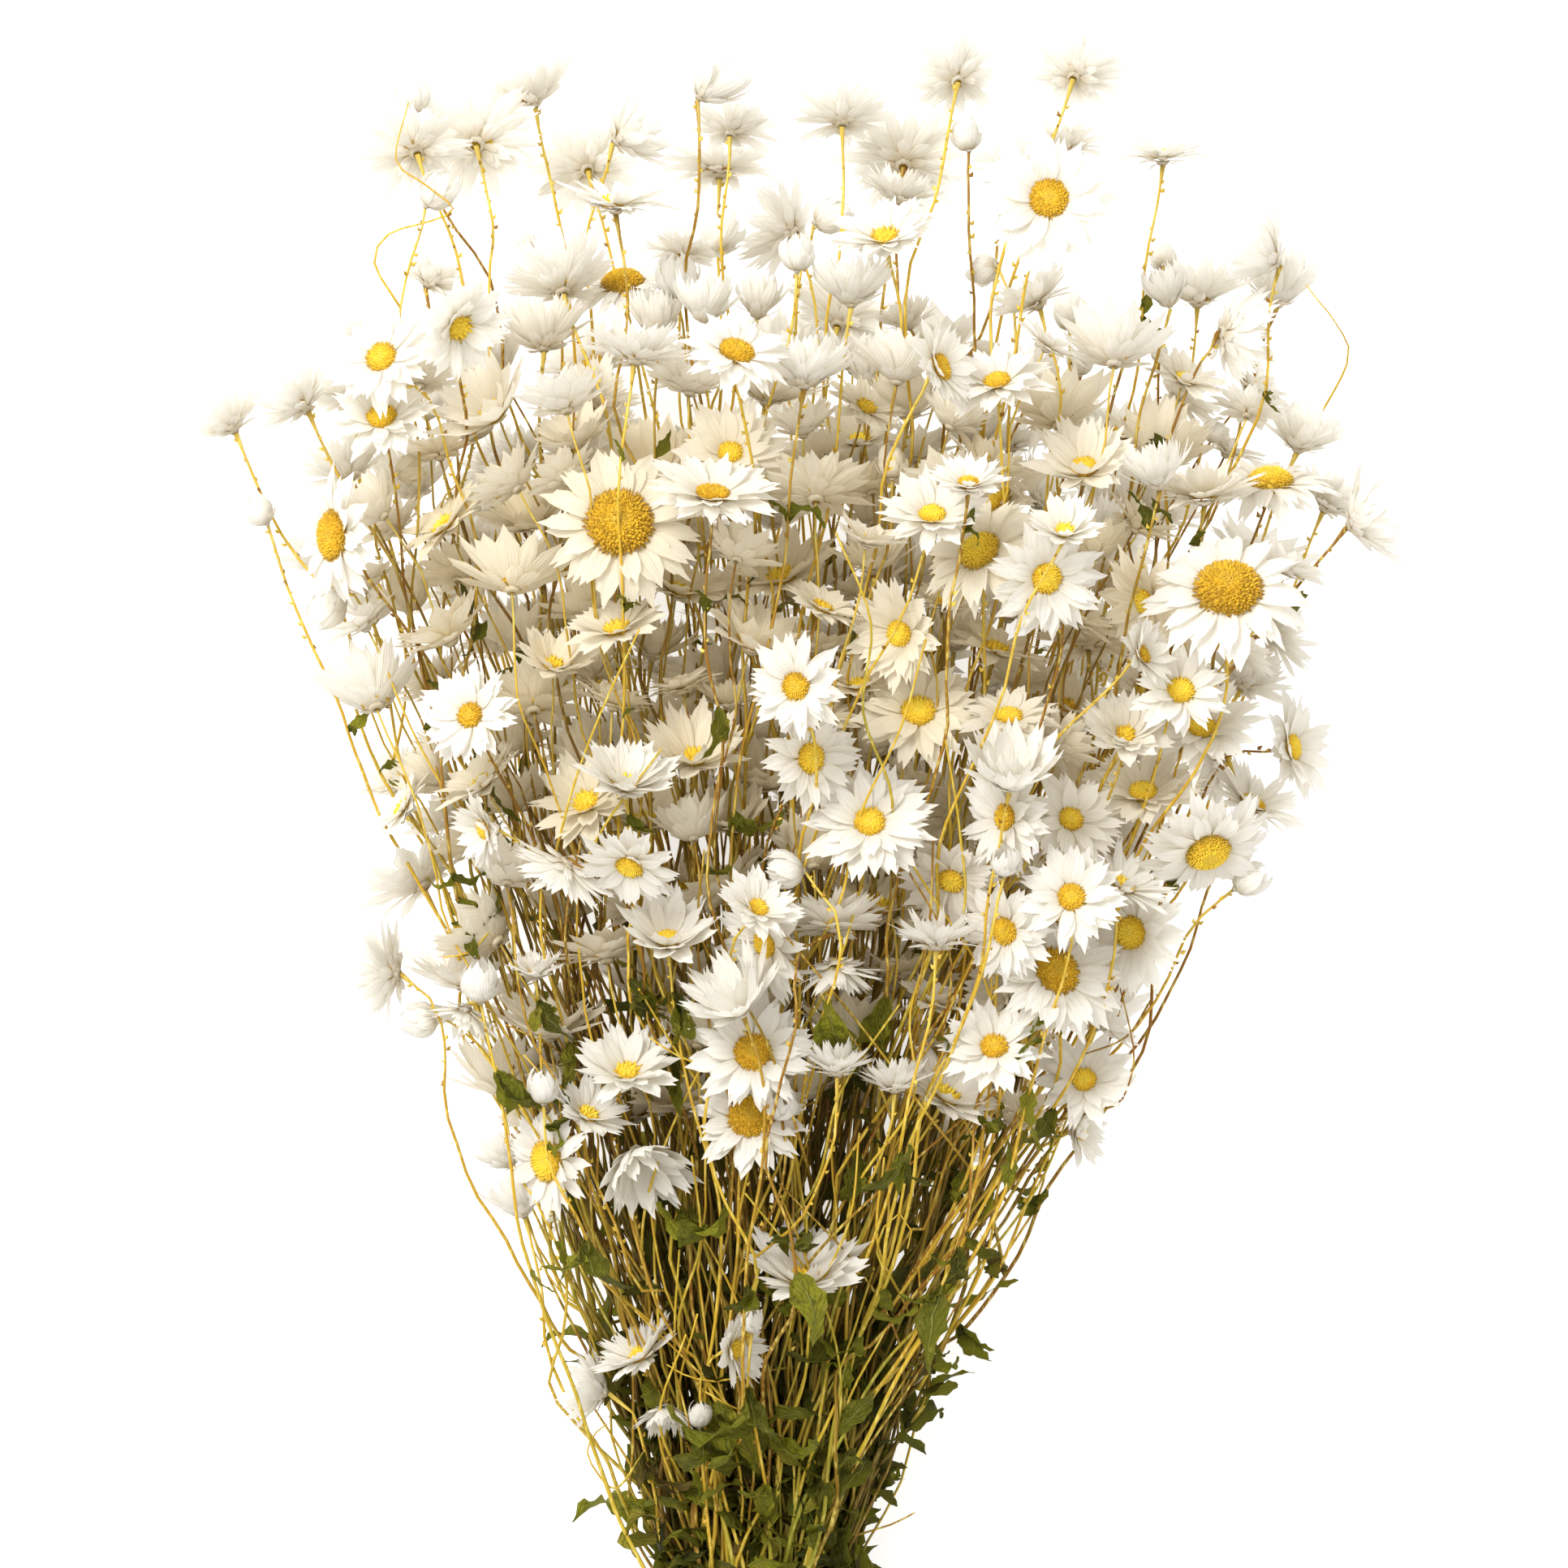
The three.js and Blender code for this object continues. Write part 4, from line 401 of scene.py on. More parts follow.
class Stems:
    """All stems' points in one list, and the straight stretches between them."""

    def __init__(self):
        self.at, self.fixed, self.radius, self.hung, self.stretches = [], [], [], [], []

    def point(self, at, radius, fixed=False):
        self.at.append(Vector(at))
        self.fixed.append(fixed)
        self.radius.append(radius)
        return len(self.at) - 1

    def path(self, spray, owner, head, points, branch):
        spray.paths.append(points)
        route = (owner, len(spray.paths) - 1)
        for k in range(1, len(points)):
            joint = branch and k == 1
            self.stretches.append((points[k - 1], points[k], route, joint, head))


def bezier(a, b, c, d, t):
    s = 1 - t
    return a * s**3 + b * (3 * s * s * t) + c * (3 * s * t * t) + d * t**3


def stem_bend(start, way, head, bend):
    distance = (head.foot - start).length
    last = head.foot - head.face * min(bend, 0.3 * distance)
    last.z = max(last.z, 3)
    return start, start + way * (0.34 * distance), last, head.foot


def route_main(stems, spray, owner, draw):
    head = spray.heads[0]
    root = spray.root
    cut = (CUT_FLARE * root.x, -CUT_LENGTH + CUT_UNEVENNESS * (next(draw) - 0.5),
           max(3, TIE_HEIGHT + CUT_FLARE * (root.z - TIE_HEIGHT)))
    points = [stems.point(cut, STEM_RADIUS, True), stems.point(root, STEM_RADIUS, True)]
    way = Vector((0.45 * head.lean, 1, 0.45 * head.steep)).normalized()
    bend = stem_bend(root, way, head, 30)
    for t in (0.18, 0.45, 0.74, 1):
        radius = STEM_RADIUS + (STEM_TIP_RADIUS - STEM_RADIUS) * min(1, 1.6 * t)
        points.append(stems.point(bezier(*bend, t), radius, t == 1))
    stems.path(spray, owner, head, points, False)


def route_branch(stems, spray, owner, head, index):
    trunk = spray.paths[0]
    wanted = (0.4 + 0.06 * index) * head.foot.y
    middles = {}
    for k in range(1, len(trunk) - 2):
        middles[k] = 0.5 * (stems.at[trunk[k]].y + stems.at[trunk[k + 1]].y)
    stretch = min(middles, key=lambda k: abs(middles[k] - wanted))
    low, high = trunk[stretch], trunk[stretch + 1]
    share = 0.3 + 0.2 * index
    start = stems.at[low].lerp(stems.at[high], share)
    along = (stems.at[high] - stems.at[low]).normalized()
    toward = head.foot - start
    toward = (toward - along * toward.dot(along)).normalized()
    clear = start + along * 9 + toward * 5
    points = [stems.point(start, 0, True), stems.point(clear, BRANCH_RADIUS)]
    stems.hung.append((points[0], low, high, share))
    bend = stem_bend(clear, (clear - start).normalized(), head, 24)
    for t in (0.4, 0.76, 1):
        points.append(stems.point(bezier(*bend, t), BRANCH_RADIUS, t == 1))
    stems.path(spray, owner, head, points, True)
    spray.leaving.append(stretch)


def nearest_shares(p0, p1, q0, q1):
    """The closest places of pairs of straight stretches, as shares along each."""
    u, v, w = p1 - p0, q1 - q0, p0 - q0
    dot = lambda a, b: np.einsum("ij,ij->i", a, b)
    a, b, c, e, f = dot(u, u), dot(u, v), dot(u, w), dot(v, v), dot(v, w)
    spread = a * e - b * b
    s = np.where(spread > 1e-9, np.clip((b * f - c * e) / np.maximum(spread, 1e-9), 0, 1), 0)
    t = (b * s + f) / e
    held = np.clip(t, 0, 1)
    s = np.where(held == t, s, np.clip((b * held - c) / a, 0, 1))
    return s, held


def head_rooms(heads):
    """The flat or long round room that each head's middle takes: core, face, reaches."""
    rooms = []
    for head in heads:
        sine, cosine = math.sin(head.angle), math.cos(head.angle)
        across = 0.42 * head.size if head.bud else 0.5 * head.petal * sine + 0.16 * head.size
        along = 0.55 * head.size if head.bud else 0.26 * head.petal * cosine + 3.2
        middle = 0.5 * head.size if head.bud else 0.24 * head.petal * cosine + 0.4
        core = head.foot + head.face * middle
        rooms.append([*core, *head.face, across + 1.9, abs(along) + 1.9])
    return np.array(rooms)


def clear_stems(stems, heads, rounds=90):
    """Bends the stems clear of the other sprays' stems and of the other heads."""
    at, radius = np.array(stems.at), np.array(stems.radius)
    free = ~np.array(stems.fixed)
    a = np.array([stretch[0] for stretch in stems.stretches])
    b = np.array([stretch[1] for stretch in stems.stretches])
    owner = np.array([stretch[2][0] for stretch in stems.stretches])
    route = np.array([stretch[2][0] * 10 + stretch[2][1] for stretch in stems.stretches])
    joint = np.array([stretch[3] for stretch in stems.stretches])
    own_head = np.array([heads.index(stretch[4]) for stretch in stems.stretches])
    thick = np.maximum(radius[a], radius[b])
    touch = (owner[:, None] == owner) & ((route[:, None] == route) | joint[:, None] | joint)
    rooms = head_rooms(heads)
    core, face, across, along = rooms[:, :3], rooms[:, 3:6], rooms[:, 6], rooms[:, 7]

    def shift(move, stretch, share, push):
        np.add.at(move, a[stretch], push * (1.3 * (1 - share))[:, None])
        np.add.at(move, b[stretch], push * (1.3 * share)[:, None])

    for _ in range(rounds):
        for start, low, high, share in stems.hung:
            at[start] = at[low] + (at[high] - at[low]) * share
        at[free, 2] = np.maximum(at[free, 2], radius[free] + 0.6)
        low, high = np.minimum(at[a], at[b]), np.maximum(at[a], at[b])
        near = ~touch
        for axis in range(3):
            near &= low[:, None, axis] - 3.6 <= high[None, :, axis]
            near &= high[:, None, axis] + 3.6 >= low[None, :, axis]
        i, j = np.nonzero(np.triu(near, 1))
        s, t = nearest_shares(at[a[i]], at[b[i]], at[a[j]], at[b[j]])
        spot = at[a[i]] + (at[b[i]] - at[a[i]]) * s[:, None]
        other = at[a[j]] + (at[b[j]] - at[a[j]]) * t[:, None]
        way = other - spot
        apart = np.linalg.norm(way, axis=1)
        need = thick[i] + thick[j] + STEM_CLEARANCE
        k = apart < need
        way = way[k] / np.maximum(apart[k], 1e-4)[:, None] * (0.5 * (need - apart)[k])[:, None]
        move = np.zeros_like(at)
        shift(move, i[k], s[k], -way)
        shift(move, j[k], t[k], way)

        gap = np.maximum(low[:, None] - core, core - high[:, None]).clip(0)
        close = np.linalg.norm(gap, axis=2) <= np.maximum(across, along)
        close[np.arange(len(a)), own_head] = False
        i, r = np.nonzero(close)
        grow = (across / along - 1)[r][:, None]
        normal = face[r]
        inner = lambda v: np.einsum("ij,ij->i", v, normal)[:, None]
        p = at[a[i]] - core[r]
        q = at[b[i]] - core[r]
        p, q = p + normal * inner(p) * grow, q + normal * inner(q) * grow
        way = q - p
        s = np.clip(-np.einsum("ij,ij->i", p, way) / np.einsum("ij,ij->i", way, way), 0, 1)
        spot = p + way * s[:, None]
        apart = np.linalg.norm(spot, axis=1)
        k = (apart < across[r]) & (apart > 1e-4)
        spot = (spot + normal * inner(spot) * grow)[k]
        spot /= np.linalg.norm(spot, axis=1)[:, None]
        amount = 0.6 * (across[r] - apart)[k] * np.minimum(1, (along / across)[r][k])
        shift(move, i[k], s[k], spot * amount[:, None])
        at[free] += 0.8 * move[free]
    stems.at = [Vector(spot) for spot in at]


def lay_out():
    heads = place_heads()
    spread_heads(heads)
    sprays = gather_sprays(heads)
    stems = Stems()
    draw = seeded(733)
    for owner, spray in enumerate(sprays):
        spray.leaving = [len(TIE_ROWS)]
        route_main(stems, spray, owner, draw)
        for index, head in enumerate(spray.heads[1:]):
            route_branch(stems, spray, owner, head, index)
    clear_stems(stems, heads)
    return heads, sprays, stems


tie_low, tie_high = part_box("tie")
SHIFT = Vector((0.5 * (tie_low[0] + tie_high[0]), 0.5 * (tie_low[1] + tie_high[1]), 0)) * 1000

HEADS, SPRAYS, STEMS = lay_out()


class Wire:
    """A value in a material. Plain arithmetic on it adds the maths to the material."""

    def __init__(self, finish, socket):
        self.finish, self.socket = finish, socket

    def sum_up(self, operation, *values):
        inputs = dict(enumerate(values))
        return self.finish.node("ShaderNodeMath", {"operation": operation}, inputs)

    def __add__(self, other):
        return self.sum_up("ADD", self, other)

    def __radd__(self, other):
        return self.sum_up("ADD", other, self)

    def __sub__(self, other):
        return self.sum_up("SUBTRACT", self, other)

    def __rsub__(self, other):
        return self.sum_up("SUBTRACT", other, self)

    def __mul__(self, other):
        return self.sum_up("MULTIPLY", self, other)

    def __pow__(self, other):
        return self.sum_up("POWER", self, other)

    def __abs__(self):
        return self.sum_up("ABSOLUTE", self)

    def sine(self):
        return self.sum_up("SINE", self)

    def above(self, low, high):
        """0 below low and 1 above high, with a smooth way between."""
        settings = {"interpolation_type": "SMOOTHSTEP"}
        return self.finish.node("ShaderNodeMapRange", settings, {"Value": self, 1: low, 2: high})


class Finish:
    """A material under construction, named for the finish that it gives."""

    def __init__(self, name):
        self.material = bpy.data.materials.new(name)
        self.material.use_nodes = True
        self.tree = self.material.node_tree
        self.tree.nodes.clear()

    def node(self, kind, settings=None, inputs=None, output=0):
        made = self.tree.nodes.new(kind)
        for key, value in (settings or {}).items():
            if key == "stops":
                ramp = made.color_ramp.elements
                while len(ramp) < len(value):
                    ramp.new(1)
                for stop, (place, colour) in zip(ramp, value):
                    stop.position, stop.color = place, (*colour, 1)
            else:
                setattr(made, key, value)
        for key, value in (inputs or {}).items():
            if isinstance(value, Wire):
                self.tree.links.new(value.socket, made.inputs[key])
            else:
                made.inputs[key].default_value = value
        return Wire(self, made.outputs[output]) if made.outputs else made

    def mark(self, name):
        """The value that each point of a piece holds under this name."""
        return self.node("ShaderNodeAttribute", {"attribute_name": name}, output="Fac")

    def sheet_place(self):
        """Across and along a petal or leaf, each from 0 to 1."""
        spot = self.node("ShaderNodeUVMap", {"uv_map": SHEET_MAP})
        across = self.node("ShaderNodeSeparateXYZ", None, {0: spot})
        return across, Wire(self, across.socket.node.outputs[1])

    def noise(self, scale, place=None, detail=2.0, roughness=0.5):
        if place is None:
            place = self.node("ShaderNodeTexCoord", output="Object")
        inputs = {"Vector": place, "Scale": scale, "Detail": detail, "Roughness": roughness}
        return self.node("ShaderNodeTexNoise", None, inputs)

    def blend(self, first, second, share):
        inputs = {0: share, 6: first, 7: second}
        return self.node("ShaderNodeMix", {"data_type": "RGBA"}, inputs, output=2)

    def shades(self, value, *stops):
        return self.node("ShaderNodeValToRGB", {"stops": stops}, {0: value})

    def shine(self, shader, level):
        """Sets how strongly a shader's surface shines."""
        shader.socket.node.inputs["Specular IOR Level"].default_value = level

    def lit_through(self, sheet, colour, share):
        """A thin sheet that lets a share of the light through."""
        glow = self.node("ShaderNodeBsdfTranslucent", None, {0: colour})
        return self.node("ShaderNodeMixShader", None, {0: share, 1: sheet, 2: glow})

    def bumps(self, height, strength, depth):
        inputs = {"Height": height, "Strength": strength, "Distance": depth}
        return self.node("ShaderNodeBump", None, inputs)

    def show(self, shader):
        self.node("ShaderNodeOutputMaterial", None, {0: shader})
        return self.material

    def body(self, **inputs):
        named = {key.replace("_", " "): value for key, value in inputs.items()}
        return self.node("ShaderNodeBsdfPrincipled", None, named)


SHEET_MAP = "OFBake"

# Petals
PAPER_WHITE = (0.97, 0.955, 0.92, 1)
VEIN_BEIGE = (0.84, 0.79, 0.68, 1)
EDGE_BEIGE = (0.76, 0.70, 0.57, 1)
CREAM = (0.88, 0.77, 0.54, 1)
FOOT_BROWN = (0.58, 0.49, 0.33, 1)
# painted shade: the cream that petals deep in the bunch are given
PAINTED_SHADE_CREAM = (0.91, 0.78, 0.49, 1)
SCALY_TAN = (0.60, 0.48, 0.27, 1)
PETAL_GLOW = (0.94, 0.92, 0.85, 1)

# Discs
AMBER = (0.50, 0.22, 0.008, 1)
YOUNG_TIP = (1.0, 0.82, 0.08, 1)
RIPE_TIP = (0.94, 0.63, 0.03, 1)
SPECK_BROWN = (0.26, 0.13, 0.015, 1)
RIPE_BROWN = (0.30, 0.15, 0.015, 1)

# Stems
ORANGE_BROWN = (0.24, 0.095, 0.010, 1)
OLIVE = (0.26, 0.25, 0.022, 1)
PALE_STRAW = (0.88, 0.71, 0.17, 1)
# painted shade: the dark brown that strands deep in the bunch are given
PAINTED_SHADE_BROWN = (0.085, 0.050, 0.010, 1)

# Leaves
BLOTCH_TAN = (0.30, 0.24, 0.04, 1)
BLOTCH_DARK = (0.035, 0.04, 0.008, 1)
RIB_GREEN = (0.38, 0.38, 0.10, 1)
# painted shade: the near-black green that leaves deep in the bunch are given
PAINTED_SHADE_GREEN = (0.022, 0.026, 0.005, 1)
LEAF_GLOW = (0.34, 0.34, 0.03, 1)


def papery_petal():
    """White and lit through: fine lengthwise veins, cream to beige at its foot, and cream shade painted on
    the petals deep in the bunch.
    """
    made = Finish("papery petal white")
    across, along = made.sheet_place()
    tone = made.mark("tone")
    drift = (along * 4.0 + tone * 20.0).sine() * 0.9 + tone * 9.0
    veins = ((across * 50.0 + drift).sine() * 0.5 + 0.5) ** 2.0
    broad = (across * 16.0 + drift * 0.6).sine() * 0.5 + 0.5
    veined = (veins * 0.42 + broad * 0.24) * (1.0 - along * 0.5)
    colour = made.blend(PAPER_WHITE, VEIN_BEIGE, veined)
    edge = abs(across - 0.5).above(0.34, 0.5)
    colour = made.blend(colour, EDGE_BEIGE, edge * 0.4)
    cream = 1.0 - along.above(0.0, 0.75)
    colour = made.blend(colour, CREAM, cream * (0.10 + tone * 0.34))
    foot = 1.0 - along.above(0.0, 0.26)
    colour = made.blend(colour, FOOT_BROWN, foot * (0.1 + tone * 0.4))
    # painted shade: petals deep in the bunch turn cream
    colour = made.blend(colour, PAINTED_SHADE_CREAM, made.mark("deep").above(0.2, 0.8) * 0.7)
    scaly = made.mark("scaly").above(0.5, 1.0)
    colour = made.blend(colour, SCALY_TAN, scaly * (0.75 - along * 0.45))
    relief = made.bumps(veins * 0.6 + broad, 0.4, 0.0004)
    sheet = made.body(Base_Color=colour, Roughness=0.6, Normal=relief)
    made.shine(sheet, 0.25)
    return made.show(made.lit_through(sheet, PETAL_GLOW, 0.39))


def golden_disc():
    """Tiny florets, olive in the middle, gold and amber round it, brown at the rim."""
    made = Finish("golden disc florets")
    outward, tone, height, ripe = (made.mark(name) for name in ("outward", "tone", "height", "ripe"))
    gold = made.shades(
        outward, (0.0, (0.36, 0.30, 0.08)), (0.2, (0.68, 0.46, 0.03)), (0.35, (0.92, 0.60, 0.015)),
        (0.78, (0.86, 0.50, 0.010)), (0.90, (0.46, 0.28, 0.02)), (1.0, (0.12, 0.10, 0.02)),
    )
    deep = made.blend(gold, AMBER, (1.0 - height) * 0.4 + tone.above(0.6, 0.95) * 0.35)
    tips = made.blend(YOUNG_TIP, RIPE_TIP, ripe)
    bright = made.blend(deep, tips, height.above(-0.2, 0.5) * (0.95 - outward ** 3.0 * 0.8))
    grain = made.noise(2600.0, detail=1.0)
    speck = made.blend(bright, SPECK_BROWN, grain.above(0.50, 0.70) * 0.3)
    relief = made.bumps(grain, 0.5, 0.0003)
    aged = made.blend(speck, RIPE_BROWN, ripe * tone * 0.6)
    return made.show(made.body(Base_Color=aged, Roughness=0.75, Normal=relief))


def straw_stem():
    """Dry stalks, golden straw low down, orange-brown higher, some of them olive, with dark shade painted
    on those deep in the bunch.
    """
    made = Finish("straw stem")
    tone, along = made.mark("tone"), made.mark("along")
    place = made.node("ShaderNodeTexCoord", output="Object")
    stretched = made.node("ShaderNodeMapping", None, {"Vector": place, "Scale": (900, 60, 900)})
    streaks = made.noise(1.0, stretched, detail=3.0)
    patches = made.noise(24.0, place)
    straw = made.shades(
        along, (0.0, (0.70, 0.56, 0.080)), (0.3, (0.74, 0.54, 0.055)), (0.55, (0.66, 0.43, 0.035)),
        (0.85, (0.62, 0.36, 0.025)), (0.95, (0.68, 0.46, 0.05)), (1.0, (0.58, 0.42, 0.08)),
    )
    brown = made.blend(straw, ORANGE_BROWN, tone.above(0.45, 0.9) * 0.9)
    olive = (patches.above(0.44, 0.60) * 0.7 + (1.0 - tone.above(0.1, 0.4))) * (1.0 - along) * 0.9
    green = made.blend(brown, OLIVE, olive)
    pale = made.blend(green, PALE_STRAW, streaks.above(0.48, 0.68) * 0.6)
    # painted shade: strands deep in the bunch turn dark brown, less so high up
    shaded = made.mark("deep").above(0.3, 0.95) * (0.85 - along.above(0.5, 0.9) * 0.4)
    colour = made.blend(pale, PAINTED_SHADE_BROWN, shaded)
    relief = made.bumps(streaks, 0.4, 0.0003)
    stalk = made.body(Base_Color=colour, Roughness=0.5 + streaks * 0.25, Normal=relief)
    made.shine(stalk, 0.25)
    return made.show(stalk)


def dried_leaf():
    """Curled leaves, olive green to brown, with a pale midrib and darker blotches, and dark shade painted
    on those deep in the bunch.
    """
    made = Finish("dried leaf")
    across, along = made.sheet_place()
    tone = made.mark("tone")
    green = made.shades(
        tone, (0.0, (0.042, 0.044, 0.003)), (0.35, (0.110, 0.115, 0.006)), (0.65, (0.215, 0.215, 0.012)),
        (0.84, (0.30, 0.26, 0.03)), (0.92, (0.15, 0.090, 0.014)), (1.0, (0.060, 0.038, 0.012)),
    )
    blotch = made.noise(300.0, detail=4.0)
    colour = made.blend(green, BLOTCH_TAN, blotch.above(0.52, 0.72) * 0.5)
    colour = made.blend(colour, BLOTCH_DARK, (1.0 - blotch.above(0.30, 0.46)) * 0.6)
    rib = 1.0 - abs(across - 0.5).above(0.012, 0.06)
    colour = made.blend(colour, RIB_GREEN, rib * 0.5)
    # painted shade: leaves deep in the bunch turn near-black green
    colour = made.blend(colour, PAINTED_SHADE_GREEN, made.mark("deep").above(0.3, 0.9) * 0.75)
    side_veins = ((along * 44.0 + abs(across - 0.5) * 30.0).sine() * 0.5 + 0.5) ** 3.0
    relief = made.bumps(side_veins * 0.4 + rib * 1.5 + blotch * 3.5, 0.8, 0.0012)
    blade = made.body(Base_Color=colour, Roughness=0.6, Normal=relief)
    made.shine(blade, 0.2)
    return made.show(made.lit_through(blade, LEAF_GLOW, 0.22))


def tan_latex():
    made = Finish("tan latex band")
    bloom = made.noise(300.0, detail=4.0)
    colour = made.blend((0.46, 0.27, 0.10, 1), (0.62, 0.44, 0.22, 1), bloom.above(0.4, 0.7))
    relief = made.bumps(bloom, 0.25, 0.0002)
    return made.show(made.body(Base_Color=colour, Roughness=0.5 + bloom * 0.2, Normal=relief))


def white_ground():
    """The floor is pale and glows a little, as a light table, so shadows stay faint."""
    made = Finish("white ground")
    haze = made.noise(0.6)
    colour = made.blend((0.70, 0.70, 0.70, 1), (0.72, 0.72, 0.72, 1), haze)
    ground = made.body(Base_Color=colour, Roughness=0.9)
    ground.socket.node.inputs["Emission Color"].default_value = (1, 1, 1, 1)
    ground.socket.node.inputs["Emission Strength"].default_value = 0.6
    made.material.cycles.emission_sampling = "NONE"
    return made.show(ground)


PAPERY, GOLDEN, STRAW, LEAFY = papery_petal(), golden_disc(), straw_stem(), dried_leaf()


def deselected():
    if bpy.context.object and bpy.context.object.mode != "OBJECT":
        bpy.ops.object.mode_set(mode="OBJECT")
    bpy.ops.object.select_all(action="DESELECT")


def work_on(piece, chosen, move=None, scale=None, turn=None, pivot=None):
    """Picks some of a piece's points and moves, scales or turns them by hand."""
    bpy.ops.object.mode_set(mode="EDIT")
    mesh = bmesh.from_edit_mesh(piece.data)
    for point in mesh.verts:
        point.select = bool(chosen(point))
    mesh.select_flush_mode()
    picked = [point.co for point in mesh.verts if point.select]
    centre = pivot or sum(picked, Vector()) / max(1, len(picked))
    bmesh.update_edit_mesh(piece.data)
    if scale:
        bpy.ops.transform.resize(value=scale, center_override=centre)
    if turn:
        bpy.ops.transform.rotate(value=turn[0], orient_axis=turn[1], center_override=centre)
    if move:
        bpy.ops.transform.translate(value=move)
    bpy.ops.object.mode_set(mode="OBJECT")


class Pattern:
    """A small modelled shape to copy: its points, faces and flat places."""

    def __init__(self, piece, flat=None):
        mesh = piece.data
        self.points = np.array([point.co for point in mesh.vertices])
        self.flat = self.points[:, :2] if flat is None else flat
        self.faces = [list(face.vertices) for face in mesh.polygons]
        bpy.data.objects.remove(piece)


def new_sheet(across, along):
    """A flat sheet one long from its foot at y = 0, one wide round x = 0."""
    deselected()
    bpy.ops.mesh.primitive_grid_add(
        x_subdivisions=across, y_subdivisions=along, size=1, location=(0, 0.5, 0))
    bpy.ops.object.transform_apply(location=True)
    sheet = bpy.context.object
    flat = np.array([(point.co.x + 0.5, point.co.y) for point in sheet.data.vertices])
    return sheet, flat


def uneven(sheet, amount, seed):
    """Nudges every point a little, so that copies don't look stamped."""
    bpy.ops.object.mode_set(mode="EDIT")
    bpy.ops.mesh.select_all(action="SELECT")
    bpy.ops.transform.vertex_random(offset=amount, seed=seed, normal=0)
    bpy.ops.object.mode_set(mode="OBJECT")


def pull_rim(piece, on_rim, move, narrowed=1, closed=False):
    """Extrudes the edges of an open rim, and narrows the new rim or draws it to a point."""
    bpy.ops.object.mode_set(mode="EDIT")
    mesh = bmesh.from_edit_mesh(piece.data)
    for edge in mesh.edges:
        edge.select = all(on_rim(point) for point in edge.verts)
    bmesh.update_edit_mesh(piece.data)
    bpy.ops.mesh.extrude_region_move(TRANSFORM_OT_translate={"value": move})
    if closed:
        bpy.ops.mesh.merge(type="CENTER")
    else:
        bpy.ops.transform.resize(value=(narrowed, narrowed, 1))
    bpy.ops.object.mode_set(mode="OBJECT")


def turned_outwards(piece):
    bpy.ops.object.mode_set(mode="EDIT")
    bpy.ops.mesh.select_all(action="SELECT")
    bpy.ops.mesh.normals_make_consistent(inside=False)
    bpy.ops.object.mode_set(mode="OBJECT")
    return piece


def petal_pattern(seed, tips, widths):
    """A papery bract: narrow foot, widest past its middle, torn into a few tips."""
    across = len(tips) - 1
    sheet, flat = new_sheet(across, len(widths) - 1)
    for row, width in enumerate(widths):
        work_on(sheet, lambda point: point.index // (across + 1) == row, scale=(width, 1, 1))
    last_row = (len(widths) - 1) * (across + 1)
    for column, rise in enumerate(tips):
        work_on(sheet, lambda point: point.index == last_row + column, move=(0, rise, 0))
    uneven(sheet, 0.02, seed)
    return Pattern(sheet, flat)


LEAF_WIDTHS = 0.16, 0.42, 0.70, 0.90, 1.0, 0.98, 0.90, 0.84, 0.70, 0.52, 0.30, 0.06
LEAF_ASPECT = 0.28  # a leaf pattern's width against its length


def leaf_pattern(seed, wave, fold, curl, twist):
    """A dried leaf: its sides folded up, its edges waved, curled over and twisted."""
    in_row = 5
    sheet, flat = new_sheet(in_row - 1, len(LEAF_WIDTHS) - 1)
    for row, width in enumerate(LEAF_WIDTHS):
        lobed = LEAF_ASPECT * width * (1 + 0.16 * math.sin(2.3 * row + seed))
        work_on(sheet, lambda point: point.index // in_row == row, scale=(lobed, 1, 1))
        left, right = math.sin(1.7 * row + seed), math.sin(1.5 * row + 2 * seed)
        share = 0.3 * width + 0.05
        lifts = {0: fold + wave * left, 1: 0.3 * fold, 3: 0.3 * fold, 4: fold + wave * right}
        for column, rise in lifts.items():
            place = in_row * row + column
            work_on(sheet, lambda point: point.index == place, move=(0, 0, rise * share))
    for row in range(1, len(LEAF_WIDTHS) - 1):
        middle = sheet.data.vertices[in_row * row + 2].co.copy()
        beyond = lambda point: point.index // in_row > row
        work_on(sheet, beyond, turn=(curl / 10, "X"), pivot=middle)
        work_on(sheet, beyond, turn=(twist / 10, "Y"), pivot=middle)
    uneven(sheet, 0.02, seed)
    return Pattern(sheet, flat)


def floret_pattern():
    """A floret: a tiny five-sided grain with its point to one side."""
    deselected()
    bpy.ops.mesh.primitive_cone_add(vertices=5, radius1=0.6, radius2=0, depth=1, end_fill_type="NOTHING")
    grain = bpy.context.object
    work_on(grain, lambda point: True, move=(0, 0, 0.5), scale=(1, 0.84, 1))
    work_on(grain, lambda point: point.co.z > 0.5, move=(0.14, 0.06, 0))
    return Pattern(grain)


def dome_pattern():
    """The dome under the florets: the upper part of a ball with a radius of one."""
    deselected()
    bpy.ops.mesh.primitive_uv_sphere_add(segments=14, ring_count=8, radius=1)
    dome = bpy.context.object
    bpy.ops.object.mode_set(mode="EDIT")
    bpy.ops.mesh.select_all(action="SELECT")
    bpy.ops.mesh.bisect(plane_co=(0, 0, -0.35), plane_no=(0, 0, 1), clear_inner=True, use_fill=True)
    bpy.ops.object.mode_set(mode="OBJECT")
    return Pattern(dome)


def scale_pattern():
    """A tiny pointed scale of a stem: a three-sided spike, fatter in its middle."""
    deselected()
    bpy.ops.mesh.primitive_cone_add(
        vertices=3, radius1=0.30, radius2=0, depth=0.62, end_fill_type="NOTHING",
        location=(0, 0.69, 0), rotation=(-math.pi / 2, 0, 0))
    bpy.ops.object.transform_apply()
    spike = bpy.context.object
    pull_rim(spike, lambda point: point.co.y < 0.5, (0, -0.38, 0), closed=True)
    return Pattern(turned_outwards(spike))


